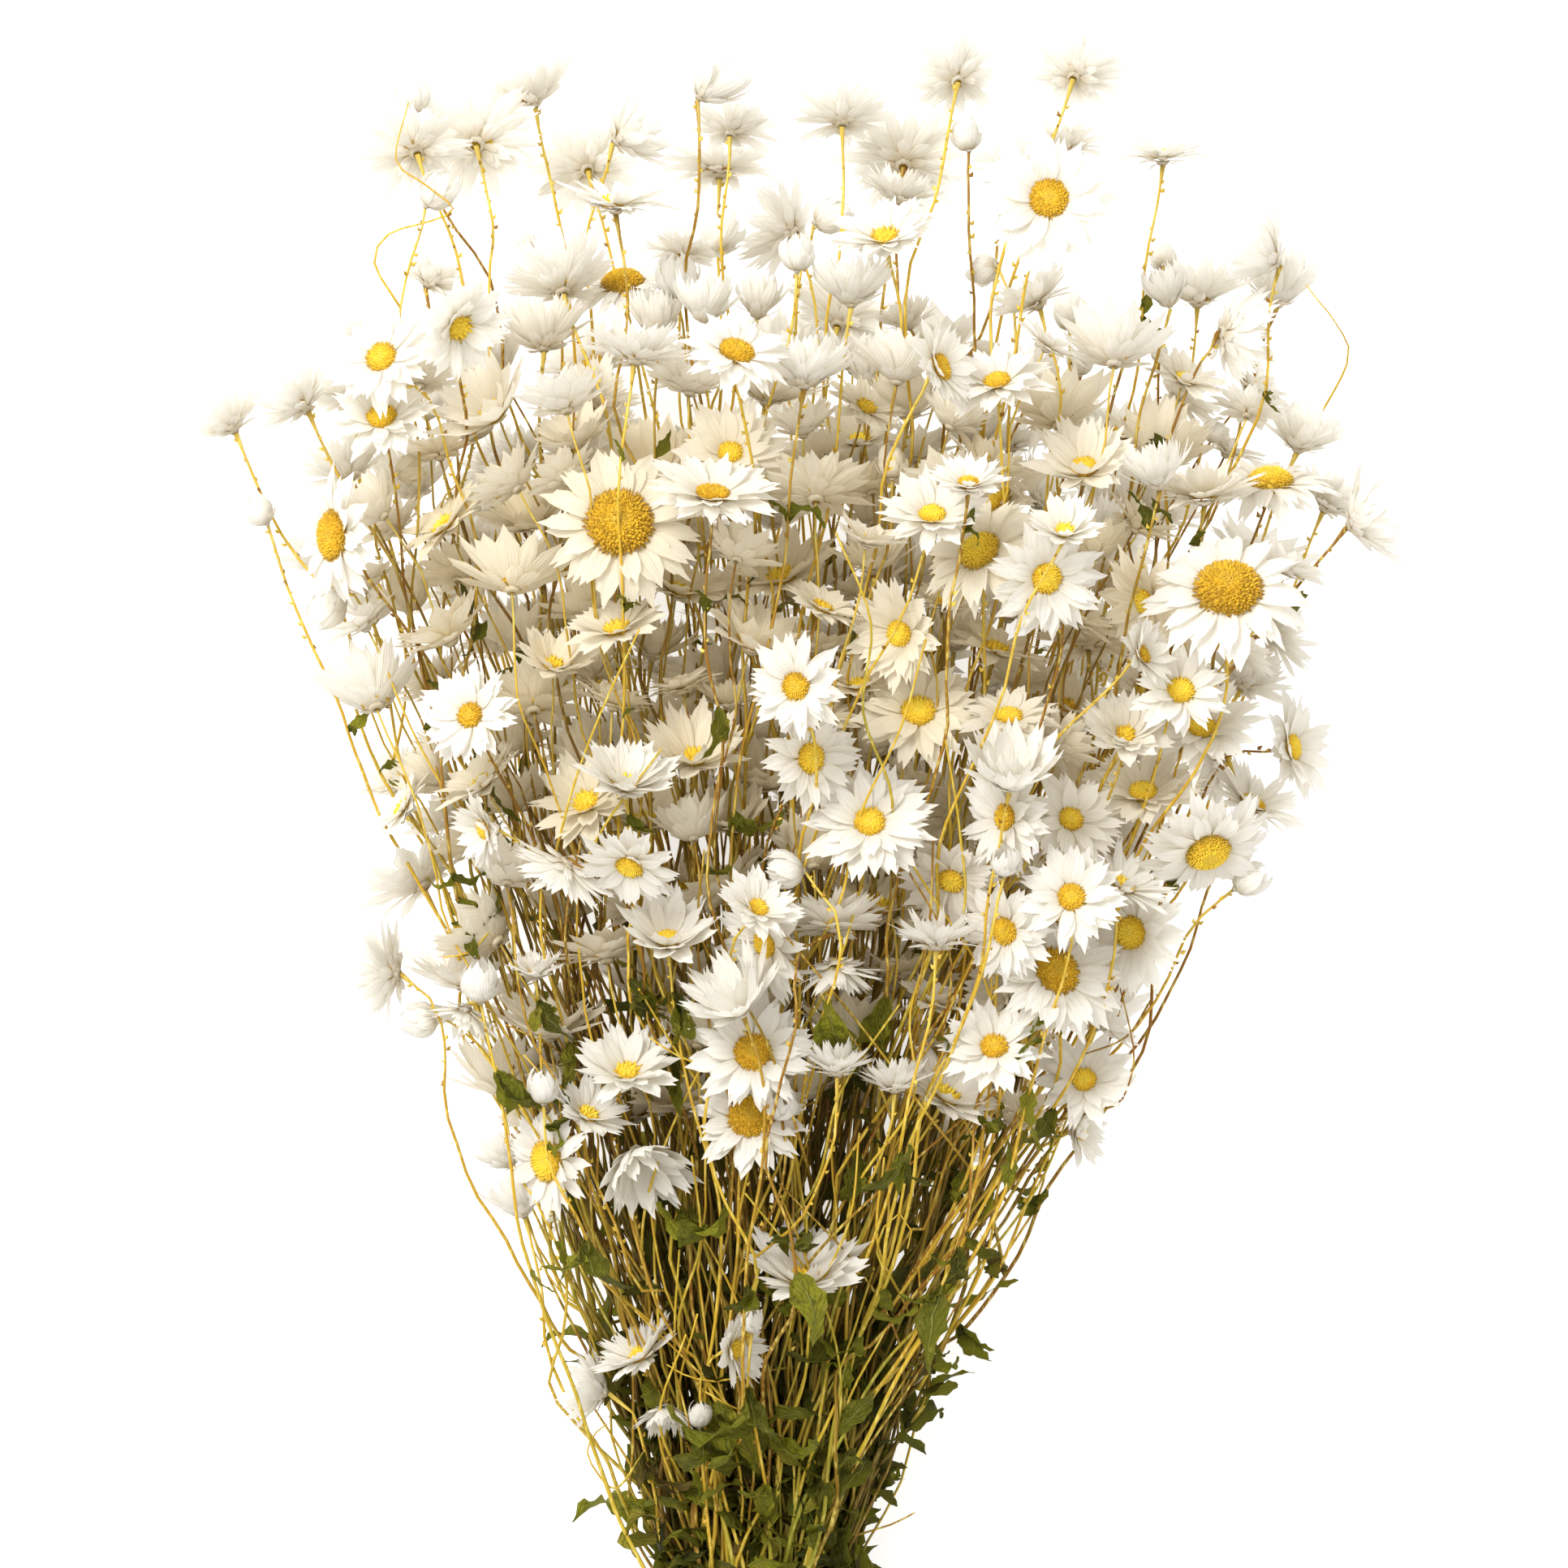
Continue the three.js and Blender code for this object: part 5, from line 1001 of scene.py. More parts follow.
def calyx_pattern():
    """The cup under a head: its rim has a radius of one, and it narrows to the stem."""
    deselected()
    deep = 0.34  # of each of its three parts
    bpy.ops.mesh.primitive_cone_add(
        vertices=8, radius1=1, radius2=0.8, depth=deep, end_fill_type="NOTHING")
    cup = bpy.context.object
    for narrowed in (0.62, 0.35):
        top = max(point.co.z for point in cup.data.vertices)
        pull_rim(cup, lambda point: point.co.z > top - 0.01, (0, 0, deep), narrowed)
    work_on(cup, lambda point: True, scale=(1, 1, -1), pivot=Vector((0, 0, -0.5 * deep)))
    return Pattern(turned_outwards(cup))


PETALS = [
    petal_pattern(1, (-0.12, 0.08, 0.00, -0.10), (0.46, 0.76, 0.97, 1.0, 0.80, 0.42)),
    petal_pattern(2, (-0.02, -0.10, 0.10, -0.06), (0.44, 0.70, 0.92, 1.0, 0.88, 0.54)),
    petal_pattern(3, (-0.16, 0.02, 0.12, -0.06), (0.48, 0.80, 1.0, 0.96, 0.74, 0.34)),
    petal_pattern(4, (0.08, -0.08, 0.06, -0.12), (0.42, 0.72, 0.96, 1.0, 0.84, 0.50)),
    petal_pattern(13, (-0.06, 0.10, -0.10, 0.06), (0.50, 0.78, 0.95, 0.98, 0.82, 0.46)),
]
FEATHERY_PETALS = [
    petal_pattern(21, (-0.09, 0.14, -0.06, 0.10), (0.40, 0.66, 0.90, 1.0, 0.90, 0.60)),
    petal_pattern(22, (0.12, -0.08, 0.10, -0.10), (0.44, 0.72, 0.95, 0.98, 0.80, 0.52)),
    petal_pattern(23, (-0.04, 0.10, -0.10, 0.14), (0.38, 0.62, 0.86, 1.0, 0.96, 0.66)),
]
PLAIN_PETALS = [
    petal_pattern(11, (-0.10, 0.10, -0.06), (0.5, 0.92, 1.0, 0.34)),
    petal_pattern(12, (0.04, -0.06, 0.06), (0.45, 0.85, 1.0, 0.42)),
]
LEAVES = [
    leaf_pattern(5, 0.14, 0.10, 1.1, 0.9), leaf_pattern(6, 0.18, 0.20, 2.2, -1.4),
    leaf_pattern(7, 0.16, 0.14, -1.5, 1.8), leaf_pattern(8, 0.22, 0.24, 2.8, 1.0),
    leaf_pattern(9, 0.12, 0.06, 0.7, -2.0), leaf_pattern(10, 0.20, 0.18, -2.2, -1.0),
]
FLORET, DOME, SCALE, CALYX = floret_pattern(), dome_pattern(), scale_pattern(), calyx_pattern()


def sides_of(along):
    """Two directions square to one that is given, and to each other."""
    up = Vector((0, 0, 1))
    u = up - along * up.dot(along)
    if u.length < 0.05:
        u = Vector((1, 0, 0)) - along * along.x
    u.normalize()
    return u, along.cross(u)


class Heap:
    """Copies of patterns gathered into one mesh, with a value or two at each point."""

    def __init__(self):
        self.points, self.faces, self.flats, self.marks, self.count = [], [], [], [], 0

    def add(self, points, faces, flats, **marks):
        """points holds several copies of one pattern, and each mark one value a copy or point."""
        copies, size = points.shape[:2]
        offsets = self.count + size * np.arange(copies)
        self.faces.extend((np.array(face) + start).tolist() for start in offsets for face in faces)
        self.points.append(points.reshape(-1, 3))
        self.flats.append(np.broadcast_to(flats, (copies, size, 2)).reshape(-1, 2))
        spread = {}
        for name, value in marks.items():
            value = np.asarray(value, float)
            if value.ndim == 1:
                value = value[:, None]
            spread[name] = np.broadcast_to(value, (copies, size)).reshape(-1)
        self.marks.append(spread)
        self.count += copies * size

    def piece(self, name, material, slot, mapped=True):
        points = np.concatenate(self.points) + np.array(SHIFT)
        room = EASED - LOWEST
        eased = LOWEST + room * np.exp(np.minimum(0, points[:, 2] - EASED) / room)
        points[:, 2] = np.where(points[:, 2] < EASED, eased, points[:, 2])
        mesh = bpy.data.meshes.new(name)
        mesh.from_pydata((points / 1000).tolist(), [], self.faces)
        corners = np.zeros(len(mesh.loops), dtype=np.int32)
        mesh.loops.foreach_get("vertex_index", corners)
        if mapped:
            flats = np.concatenate(self.flats)
            mesh.uv_layers.new(name=SHEET_MAP).data.foreach_set("uv", flats[corners].ravel())
        for mark in sorted({mark for spread in self.marks for mark in spread}):
            values = np.concatenate([spread.get(mark, np.zeros(len(points))) for spread, points
                                     in zip(self.marks, self.points)])
            mesh.attributes.new(mark, "FLOAT", "POINT").data.foreach_set("value", values)
        mesh.shade_smooth()
        mesh.materials.append(material)
        piece = bpy.data.objects.new(name, mesh)
        bpy.context.collection.objects.link(piece)
        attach(piece, "root")
        return piece


INNER_SPAN = 175, 388  # how far up the inner heads lie
HEADS_PER_GAP = 4  # inner heads whose strands share one gap of the tie
LOOSE_COUNT = 45  # thin strands that wander up over the front
SPREAD_FLAT = 1.5, 1.78  # angles at the petals' feet and tips where a head rests
GOLDEN_ANGLE = 2.399963  # between one floret and the next
PETAL_STRETCH = 1.1  # papery tips reach past the part's plainer petals
STEM_SWINGS = [1.5, 2.6, 4.4]  # how far a strand strays from its stem's middle
LOWEST = 0.25  # over the surface, for anything but the tie
EASED = 2.6  # below this, what would sink lower lies down on the surface instead


def head_axes(head):
    """A head's own directions, turned at random so that no two heads match."""
    u, w = sides_of(head.face)
    turn = head.draw.uniform(0, 2 * math.pi)
    return u * math.cos(turn) + w * math.sin(turn), w * math.cos(turn) - u * math.sin(turn)


class Whorl:
    """One ring of a head's petals: how many, their length and width, the angles from
    the head's axis at foot and tip, and where their feet sit."""

    def __init__(self, count, length, width, foot_angle, tip_angle, radius, height, scaly=0.0):
        self.count, self.length, self.width = count, length, width
        self.foot_angle, self.tip_angle = foot_angle, tip_angle
        self.radius, self.height, self.scaly = radius, height, scaly


def disc_radius(head):
    return clamp(0.5 * head.disc, 0.15 * head.size, 0.3 * head.size)


def whorls_of(head):
    size, angle = head.size, head.angle
    if head.bud:
        girth = size * (0.46 if head.opening < 0.05 else 0.36)
        full = 1.16 * size
        return [
            Whorl(7, full, 1.25 * girth, 1.25, -0.75, 0.06 * size, 0.05 * size),
            Whorl(7, 0.86 * full, 1.25 * girth, 1.38, -0.55, 0.08 * size, 0.02 * size),
            Whorl(7, 0.62 * full, 1.1 * girth, 1.48, -0.2, 0.09 * size, 0),
            Whorl(6, 0.30 * full, 0.7 * girth, 1.5, 0.3, 0.10 * size, -0.01 * size, 0.9),
        ]
    disc = disc_radius(head)
    seat = 0.66 * disc
    room = 0.5 * size / max(math.sin(angle), FLATTEST_SINE)
    length = PETAL_STRETCH * min(LONGEST_PETAL, max(room - 0.35 * seat, 0.7 * room))
    width = (0.27 if head.feathery else 0.36) * length + 0.5
    cupped = clamp(1 - head.opening, 0, 0.8)
    foot, tip = angle + 0.75 * cupped - 0.10, angle - 0.95 * cupped + 0.16
    if head.opening > BENT_BACK:
        foot, tip = angle - 0.3, angle + 0.42
    closer = 1.0
    if head.pinned:
        foot, tip, closer = *SPREAD_FLAT, 0.25
    if head.inner:
        return [
            Whorl(12, length, width, foot, tip, seat, SEAT_HEIGHT),
            Whorl(11, 0.9 * length, width, foot - 0.2, tip - 0.25, 0.9 * seat, SEAT_HEIGHT + 0.4),
            Whorl(7, 0.5 * length, 0.9 * width, foot + 0.18, tip + 0.1, 0.72 * seat, 0.7, 0.4),
        ]
    crowd = (12 if size > 26 else 11) + head.draw.choice([-1, 0, 1]) + (3 if head.feathery else 0)
    second = foot - 0.14 * closer, tip - 0.17 * closer
    third = foot - 0.32 * closer, tip - 0.40 * closer
    return [
        Whorl(crowd, length, width, foot, tip, seat, SEAT_HEIGHT),
        Whorl(crowd, 0.95 * length, width, *second, 0.95 * seat, SEAT_HEIGHT + 0.25),
        Whorl(crowd - 2, 0.84 * length, 0.9 * width, *third, 0.9 * seat, SEAT_HEIGHT + 0.5),
        Whorl(8, 0.50 * length, 0.9 * width, foot + 0.16, tip + 0.1, 0.75 * seat, 0.7, 0.35),
        Whorl(7, 0.28 * length, 0.55 * width, foot + 0.2, tip + 0.3, 0.62 * seat, 0.2, 0.95),
    ]


def grow_petals(heap, heads, patterns):
    """Every petal of a layer's heads, each pattern's copies bent at once."""
    rows = {k: [] for k in range(len(patterns))}
    for head in heads:
        u, w = head_axes(head)
        draw = head.draw
        ragged = 0.05 if head.bud or head.pinned else draw.uniform(0.08, 0.2)
        ragged += 0.08 if head.feathery else 0
        shortest = 0.7 if head.feathery else 0.8
        for ring, whorl in enumerate(whorls_of(head)):
            start = draw.uniform(0, 1)
            for k in range(whorl.count):
                turn = 2 * math.pi * (k + start + draw.uniform(-0.2, 0.2)) / whorl.count
                stray = draw.gauss(0, ragged)
                rows[draw.randrange(len(patterns))].append([
                    *head.foot, *head.face, *u, *w, turn,
                    whorl.length * draw.uniform(shortest, 1.06), whorl.width * draw.uniform(0.72, 1.15),
                    whorl.foot_angle + 0.4 * stray, whorl.tip_angle + stray + draw.uniform(-0.08, 0.10),
                    whorl.radius, whorl.height + 0.12 * draw.random(), draw.uniform(-0.35, 0.35),
                    draw.random(), whorl.scaly, 0.36 * head.size if head.bud else 0.16 * head.size + 1,
                    inwardness(head.middle),
                ])
    for number, listed in rows.items():
        if not listed:
            continue
        pattern = patterns[number]
        values = np.array(listed)
        foot, face, u, w = values[:, 0:3], values[:, 3:6], values[:, 6:9], values[:, 9:12]
        turn, length, width, low, high, radius, height, twist, tone, scaly, roll, deep = values[:, 12:].T
        across, along = pattern.points[:, 0], pattern.points[:, 1]
        change = np.where(abs(high - low) < 1e-3, 1e-3, high - low)[:, None]
        angle = low[:, None] + change * along
        length = length[:, None]
        out = radius[:, None] + length * (np.cos(low)[:, None] - np.cos(angle)) / change
        up = height[:, None] + length * (np.sin(angle) - np.sin(low)[:, None]) / change
        aside = width[:, None] * across
        lift = aside**2 / (2 * roll[:, None]) + aside * np.sin(twist)[:, None] * along
        out = out - lift * np.cos(angle)
        up = up + lift * np.sin(angle)
        away = u * np.cos(turn)[:, None] + w * np.sin(turn)[:, None]
        beside = w * np.cos(turn)[:, None] - u * np.sin(turn)[:, None]
        points = foot[:, None] + away[:, None] * out[..., None] + beside[:, None] * aside[..., None]
        points = points + face[:, None] * up[..., None]
        # the deep mark sets how much shade the petal material paints
        heap.add(points, pattern.faces, pattern.flat, tone=tone, scaly=scaly, deep=deep)


def grow_calyx(heap, head):
    """The beige cup that joins a head's petals to its stem."""
    u, w = head_axes(head)
    wide = 0.11 * head.size if head.bud else 0.6 * disc_radius(head)
    axes = np.array([u * wide, w * wide, head.face * (0.8 + 0.5 * wide)])
    middle = np.array(head.foot + head.face * (0.3 if head.bud else 1.1))
    flats = np.stack([0.5 + 0.5 * CALYX.points[:, 0], 0 * CALYX.points[:, 2]], 1)
    # the deep mark sets how much shade the petal material paints on the cup
    heap.add((middle + CALYX.points @ axes)[None], CALYX.faces, flats,
             tone=[head.draw.random()], scaly=[0.7], deep=[inwardness(head.middle)])


def grow_disc(heap, head):
    """A domed disc, closely set with florets in a spiral."""
    u, w = head_axes(head)
    draw, radius = head.draw, disc_radius(head)
    shown = head.disc > 0
    ripe = 1 if head.disc > 14 else draw.random() ** 2
    share = HIGH_DOME_SHARE if head.opening > BENT_BACK else DOME_SHARE
    dome = radius * (share if shown else 0.3)
    axes = np.array([u, w, head.face])
    middle = np.array(head.foot) + np.array(head.face) * (RIM_HEIGHT - 0.25 * dome)
    base = DOME.points * (0.97 * radius, 0.97 * radius, 1.1 * dome)
    outward = np.minimum(1, np.linalg.norm(DOME.points[:, :2], axis=1))
    heap.add((middle + base @ axes)[None], DOME.faces, 0 * DOME.flat, outward=0.92 * outward[None],
             tone=[0.5], height=[0.2], ripe=[ripe])
    count = round(clamp(10 * radius**2, 60, 620)) if shown else 30
    k = np.arange(count)
    reach = np.sqrt((k + 0.5) / count)
    turn = k * GOLDEN_ANGLE + draw.uniform(0, 6) + np.array([draw.gauss(0, 0.06) for _ in k])
    reach = np.clip(reach + np.array([draw.gauss(0, 0.015) for _ in k]), 0.02, 1)
    rise = np.sqrt(np.maximum(0.02, 1 - 0.93 * reach**2))
    seat = np.stack([radius * reach * np.cos(turn), radius * reach * np.sin(turn), 1.1 * dome * rise], 1)
    slope = reach / radius
    normal = np.stack([np.cos(turn) * slope, np.sin(turn) * slope, rise / (1.3 * dome)], 1)
    normal /= np.linalg.norm(normal, axis=1)[:, None]
    side = np.cross(normal, [0.3, 0.2, 1.0])
    side /= np.linalg.norm(side, axis=1)[:, None]
    other = np.cross(normal, side)
    size = radius * 2.1 / math.sqrt(count) * (0.8 + 0.4 * np.array([draw.random() for _ in k]))
    size = size * np.where(reach < 0.32, 0.62, 1)
    tall = size * (0.9 + 0.6 * np.array([draw.random() for _ in k]))
    shape = FLORET.points
    local = seat[:, None] + side[:, None] * (shape[:, 0] * size[:, None])[..., None]
    local = local + other[:, None] * (shape[:, 1] * size[:, None])[..., None]
    local = local + normal[:, None] * ((shape[:, 2] - 0.15) * tall[:, None])[..., None]
    heap.add(middle + local @ axes, FLORET.faces, 0 * FLORET.points[:, :2], outward=reach,
             tone=[draw.random() for _ in k], height=np.broadcast_to(shape[:, 2], (count, len(shape))),
             ripe=np.full(count, ripe))


def smooth_line(corners, step):
    """Places about a step apart on a smooth line through all the corners."""
    listed = [corners[0] * 2 - corners[1], *corners, corners[-1] * 2 - corners[-2]]
    line = []
    for k in range(1, len(listed) - 2):
        a, b, c, d = listed[k - 1:k + 3]
        parts = max(1, round((c - b).length / step))
        for part in range(parts):
            t = part / parts
            line.append(0.5 * (b * 2 + (c - a) * t + (a * 2 - b * 5 + c * 4 - d) * t**2
                               + (b * 3 - a - c * 3 + d) * t**3))
    return [*line, corners[-1].copy()]


class Strand:
    """One wiry stem: its places, its thickness at each, and how far along it each is."""

    def __init__(self, line, radii, tone, spread=(0, 1)):
        self.line, self.radii, self.tone = line, radii, tone
        self.along = np.linspace(*spread, len(line))


def wavering(line, draw, swing, firm_from, firm_to):
    """Bends a line in slow and quick waves, but not near its two ends."""
    turns = [draw.uniform(0, 6.3) for _ in range(4)]
    lengths = draw.uniform(70, 110), draw.uniform(24, 40)
    run, moved, before = 0.0, [], line[0]
    total = sum((b - a).length for a, b in zip(line, line[1:]))
    for spot in line:
        run += (spot - before).length
        before = spot
        ease = clamp((spot.y - firm_from) / 70, 0, 1) * clamp((total - run) / firm_to, 0, 1)
        slow, quick = 2 * math.pi * run / lengths[0], 2 * math.pi * run / lengths[1]
        x = math.sin(slow + turns[0]) + 0.15 * math.sin(quick + turns[1])
        z = math.sin(slow + turns[2]) + 0.15 * math.sin(quick + turns[3])
        moved.append(spot + Vector((x, 0, z)) * (swing * ease))
    return moved


def head_strand(spray, index, draw):
    """The strand from a spray's cut end to one of its heads. Up to where its branch
    leaves, it clings to the spray's other three."""
    head = spray.heads[index]
    trunk = spray.paths[0]
    numbers = trunk if index == 0 else trunk[:spray.leaving[index] + 1] + spray.paths[index]
    corners = [STEMS.at[k] for k in numbers]
    line = smooth_line(corners, 7)
    leaves = STEMS.at[spray.paths[index][0]].y if index else 90
    clung = []
    for spot in line:
        turn = index * math.pi / 2 + spot.y / 28
        near = clamp((leaves + 25 - spot.y) / 50, 0, 1)
        clung.append(spot + Vector((math.cos(turn), 0, math.sin(turn))) * (0.85 * near))
    line = wavering(clung, draw, draw.choice(STEM_SWINGS), 10, 45)
    line[-1] = head.foot - head.face * 0.4
    radii = []
    for spot in line:
        high = clamp(spot.y / max(60, head.foot.y), 0, 1)
        thin = 0.74 - (0.34 if index == 0 else 0.38) * high**0.8
        radii.append(thin * draw.uniform(0.93, 1.07))
    radii[-1] = clamp(0.035 * head.size, 0.45, 0.8)
    return Strand(line, radii, draw.random())


def inner_heads():
    """Paler heads deep in the bunch, each where the others leave the most room. There
    are four for each gap between four stems of the tie, each with its place in it."""
    draw = random.Random(61)
    slots = []
    for row in range(len(TIE_ROWS) - 1):
        count = min(TIE_ROWS[row:row + 2])
        for column in range(HEADS_PER_GAP * count):
            x = ((column + 0.5) / HEADS_PER_GAP - 0.5 * count) * STEM_PITCH
            z = TIE_HEIGHT + (row + 0.4 + 0.2 * (column % 2) - (len(TIE_ROWS) - 1) / 2) * ROW_PITCH
            slots.append((row, Vector((x, 0, z))))
    spots = np.array([head.middle for head in HEADS])
    halves = np.array([head.half for head in HEADS])
    inner = []
    for _ in slots:
        best = None
        for _ in range(60):
            y = draw.uniform(*INNER_SPAN)
            x = middle_x(y) + draw.uniform(-0.9, 0.9) * half_width(y)
            z = middle_z(y) + draw.uniform(-0.8, 0.5) * depth_at(x, y)
            room = (np.linalg.norm(spots - (x, y, z), axis=1) - halves).min()
            front = spots[:, 2] > middle_z(y) - 10
            seen = (np.linalg.norm((spots - (x, y, z))[front, :2], axis=1) - halves[front]).min()
            score = min(room, 12) + 0.8 * min(seen, 9)
            if best is None or score > best[0]:
                best = score, room, x, y, z
        _, room, x, y, z = best
        side = (x - middle_x(y)) / half_width(y)
        size = clamp(2.2 * room, 19, 28)
        aim = 90 - 34 * side + draw.uniform(-28, 28)
        head = Head(x, y, size, draw.uniform(0.5, 0.95), aim, draw.uniform(55, 125), 0, 0)
        head.middle.z, head.inner, head.bud = max(z, 8), True, False
        head.foot = head.middle - head.face * (0.42 * head.petal * math.cos(head.angle) + 1)
        head.foot.z = max(head.foot.z, 3)
        inner.append(head)
        spots, halves = np.vstack([spots, head.middle]), np.append(halves, head.half)
    inner.sort(key=lambda head: (head.foot.z - TIE_HEIGHT) / (head.foot.y + FAN_ORIGIN))
    ordered = []
    for row in range(len(TIE_ROWS) - 1):
        own = [slot for slot in slots if slot[0] == row]
        layer, inner = inner[:len(own)], inner[len(own):]
        layer.sort(key=lambda head: head.foot.x / (head.foot.y + FAN_ORIGIN))
        ordered += [(head, *slot) for head, slot in zip(layer, own)]
    return ordered


def inner_strand(head, root, draw):
    """A thin strand through a gap of the tie up to a head deep in the bunch."""
    steep = (head.foot.z - TIE_HEIGHT) / (head.foot.y + FAN_ORIGIN)
    lean = head.foot.x / (head.foot.y + FAN_ORIGIN)
    cut = Vector((CUT_FLARE * root.x, -CUT_LENGTH + draw.uniform(-5, 5),
                  max(3, TIE_HEIGHT + CUT_FLARE * (root.z - TIE_HEIGHT))))
    bend = stem_bend(root, Vector((0.45 * lean, 1, 0.45 * steep)).normalized(), head, 30)
    corners = [cut, root.copy(), *(bezier(*bend, t) for t in (0.15, 0.35, 0.6, 0.82, 1))]
    line = wavering(smooth_line(corners, 8.5), draw, 3.2, 14, 40)
    line[-1] = head.foot - head.face * 0.4
    thick = [0.42 - 0.12 * k / len(line) for k in range(len(line))]
    return Strand(line, [radius * draw.uniform(0.93, 1.07) for radius in thick], draw.random())


def front_at(x, y, heads):
    """How high the bunch's front lies at a place."""
    z = middle_z(y) + 0.8 * depth_at(x, y)
    near = [head.middle.z for head in heads if math.hypot(head.middle.x - x, head.middle.y - y) < 12]
    return max([z, *near]) + 1


def stray_strands(heads, sprays):
    """The listed loose strands, from the nearest stem's front."""
    draw = random.Random(4)
    strays = []
    spots = [spot for spray in sprays for strand in spray.strands for spot in strand.line]
    for listed in STRAY_STRANDS:
        places = [picture_place(*place) for place in listed]
        x, y = places[0]
        seat = min(spots, key=lambda spot: math.hypot(spot.x - x, spot.y - y) - 0.12 * spot.z)
        top = front_at(*places[-1], heads)
        corners = [seat.copy()]
        for k, (x, y) in enumerate(places[1:]):
            share = (k + 1) / (len(places) - 1)
            rise = (min(top, seat.z + 22) - seat.z) * min(1, 1.6 * share)
            corners.append(Vector((x, y, seat.z + rise)))
        line = smooth_line(corners, 4)
        radii = [0.36 - 0.16 * k / len(line) for k in range(len(line))]
        strays.append(Strand(line, radii, draw.random(), (0.5, 0.95)))
    return strays


def rising_strands(heads, sprays):
    """Thin loose strands that leave a stem low down and wander up over the front."""
    draw = random.Random(77)
    fronts = [spray for spray in sprays if spray.layer > 1]
    strays = []
    for _ in range(LOOSE_COUNT):
        strand = draw.choice(draw.choice(fronts).strands)
        spot = strand.line[draw.randrange(int(0.2 * len(strand.line)), int(0.6 * len(strand.line)))]
        corners, lean = [spot.copy()], draw.uniform(-0.25, 0.25)
        steps = draw.randrange(3, 6)
        for k in range(1, steps + 1):
            lean = 0.75 * lean + draw.uniform(-0.6, 0.6)
            x, y = corners[-1].x + 24 * lean, corners[-1].y + 24
            x = middle_x(y) + clamp(x - middle_x(y), -0.9 * half_width(y), 0.9 * half_width(y))
            top = front_at(x, y, heads) - draw.uniform(0, 8)
            corners.append(Vector((x, y, spot.z + (top - spot.z) * min(1, 0.5 * k))))
        line = smooth_line(corners, 5)
        radii = [0.52 - 0.24 * k / len(line) for k in range(len(line))]
        strays.append(Strand(line, radii, draw.random(), (0.3, 0.7)))
    return strays


def round_lines(name, lines, roundness, material, closed=False):
    """Lines of round wire or cord as one mesh, each from its places and radii."""
    curve = bpy.data.curves.new(name, "CURVE")
    curve.dimensions, curve.bevel_depth, curve.bevel_resolution = "3D", 1.0, roundness
    for places, radii in lines:
        spline = curve.splines.new("POLY")
        spline.points.add(len(places) - 1)
        spline.use_cyclic_u = closed
        for point, spot, radius in zip(spline.points, places, radii):
            point.co = (*((spot + SHIFT) / 1000), 1)
            point.radius = radius / 1000
    piece = bpy.data.objects.new(name, curve)
    bpy.context.collection.objects.link(piece)
    deselected()
    bpy.context.view_layer.objects.active = piece
    piece.select_set(True)
    bpy.ops.object.convert(target="MESH")
    piece.data.shade_smooth()
    piece.data.materials.clear()
    piece.data.materials.append(material)
    return piece


def stem_piece(name, strands):
    """Strands as one mesh of round wires, with tone and place marks."""
    lines = []
    for strand in strands:
        places = [Vector((spot.x, spot.y, max(spot.z, radius + LOWEST)))
                  for spot, radius in zip(strand.line, strand.radii)]
        lines.append((places, strand.radii))
    piece = round_lines(name, lines, 1, STRAW)
    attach(piece, "root")
    mesh = piece.data
    sides = len(mesh.vertices) // sum(len(strand.line) for strand in strands)
    # the deep mark sets how much shade the stem material paints
    marks = {
        "tone": np.concatenate([np.full(len(strand.line) * sides, strand.tone) for strand in strands]),
        "along": np.concatenate([np.repeat(strand.along, sides) for strand in strands]),
        "deep": np.repeat([inwardness(spot) for strand in strands for spot in strand.line], sides),
    }
    for mark, values in marks.items():
        mesh.attributes.new(mark, "FLOAT", "POINT").data.foreach_set("value", values)
    bpy.ops.object.mode_set(mode="EDIT")
    bpy.ops.mesh.select_all(action="SELECT")
    bpy.ops.mesh.fill_holes(sides=sides)
    bpy.ops.object.mode_set(mode="OBJECT")
    mesh.shade_smooth()


def place_copies(pattern, seats, ways, rolls, lengths, widths):
    """Copies of a pattern, each from its seat along its way, rolled about it."""
    points = np.zeros((len(seats), len(pattern.points), 3))
    for k, (seat, way, roll, length, width) in enumerate(zip(seats, ways, rolls, lengths, widths)):
        u, w = sides_of(way)
        side = u * math.sin(roll) + w * math.cos(roll)
        face = side.cross(way)
        axes = np.array([side * width, way * length, face * length])
        points[k] = np.array(seat) + pattern.points @ axes
    return points


def grow_leaves(heap, wanted):
    """wanted lists leaves as seat, way, roll, length, width and tone."""
    draw = random.Random(17)
    shares = {k: [] for k in range(len(LEAVES))}
    for leaf in wanted:
        shares[draw.randrange(len(LEAVES))].append(leaf)
    for number, listed in shares.items():
        if listed:
            seats, ways, rolls, lengths, widths, tones = zip(*listed)
            widths = [width / LEAF_ASPECT for width in widths]
            points = place_copies(LEAVES[number], seats, ways, rolls, lengths, widths)
            # the deep mark sets how much shade the leaf material paints
            deep = [inwardness(seat) for seat in seats]
            heap.add(points, LEAVES[number].faces, LEAVES[number].flat, tone=tones, deep=deep)


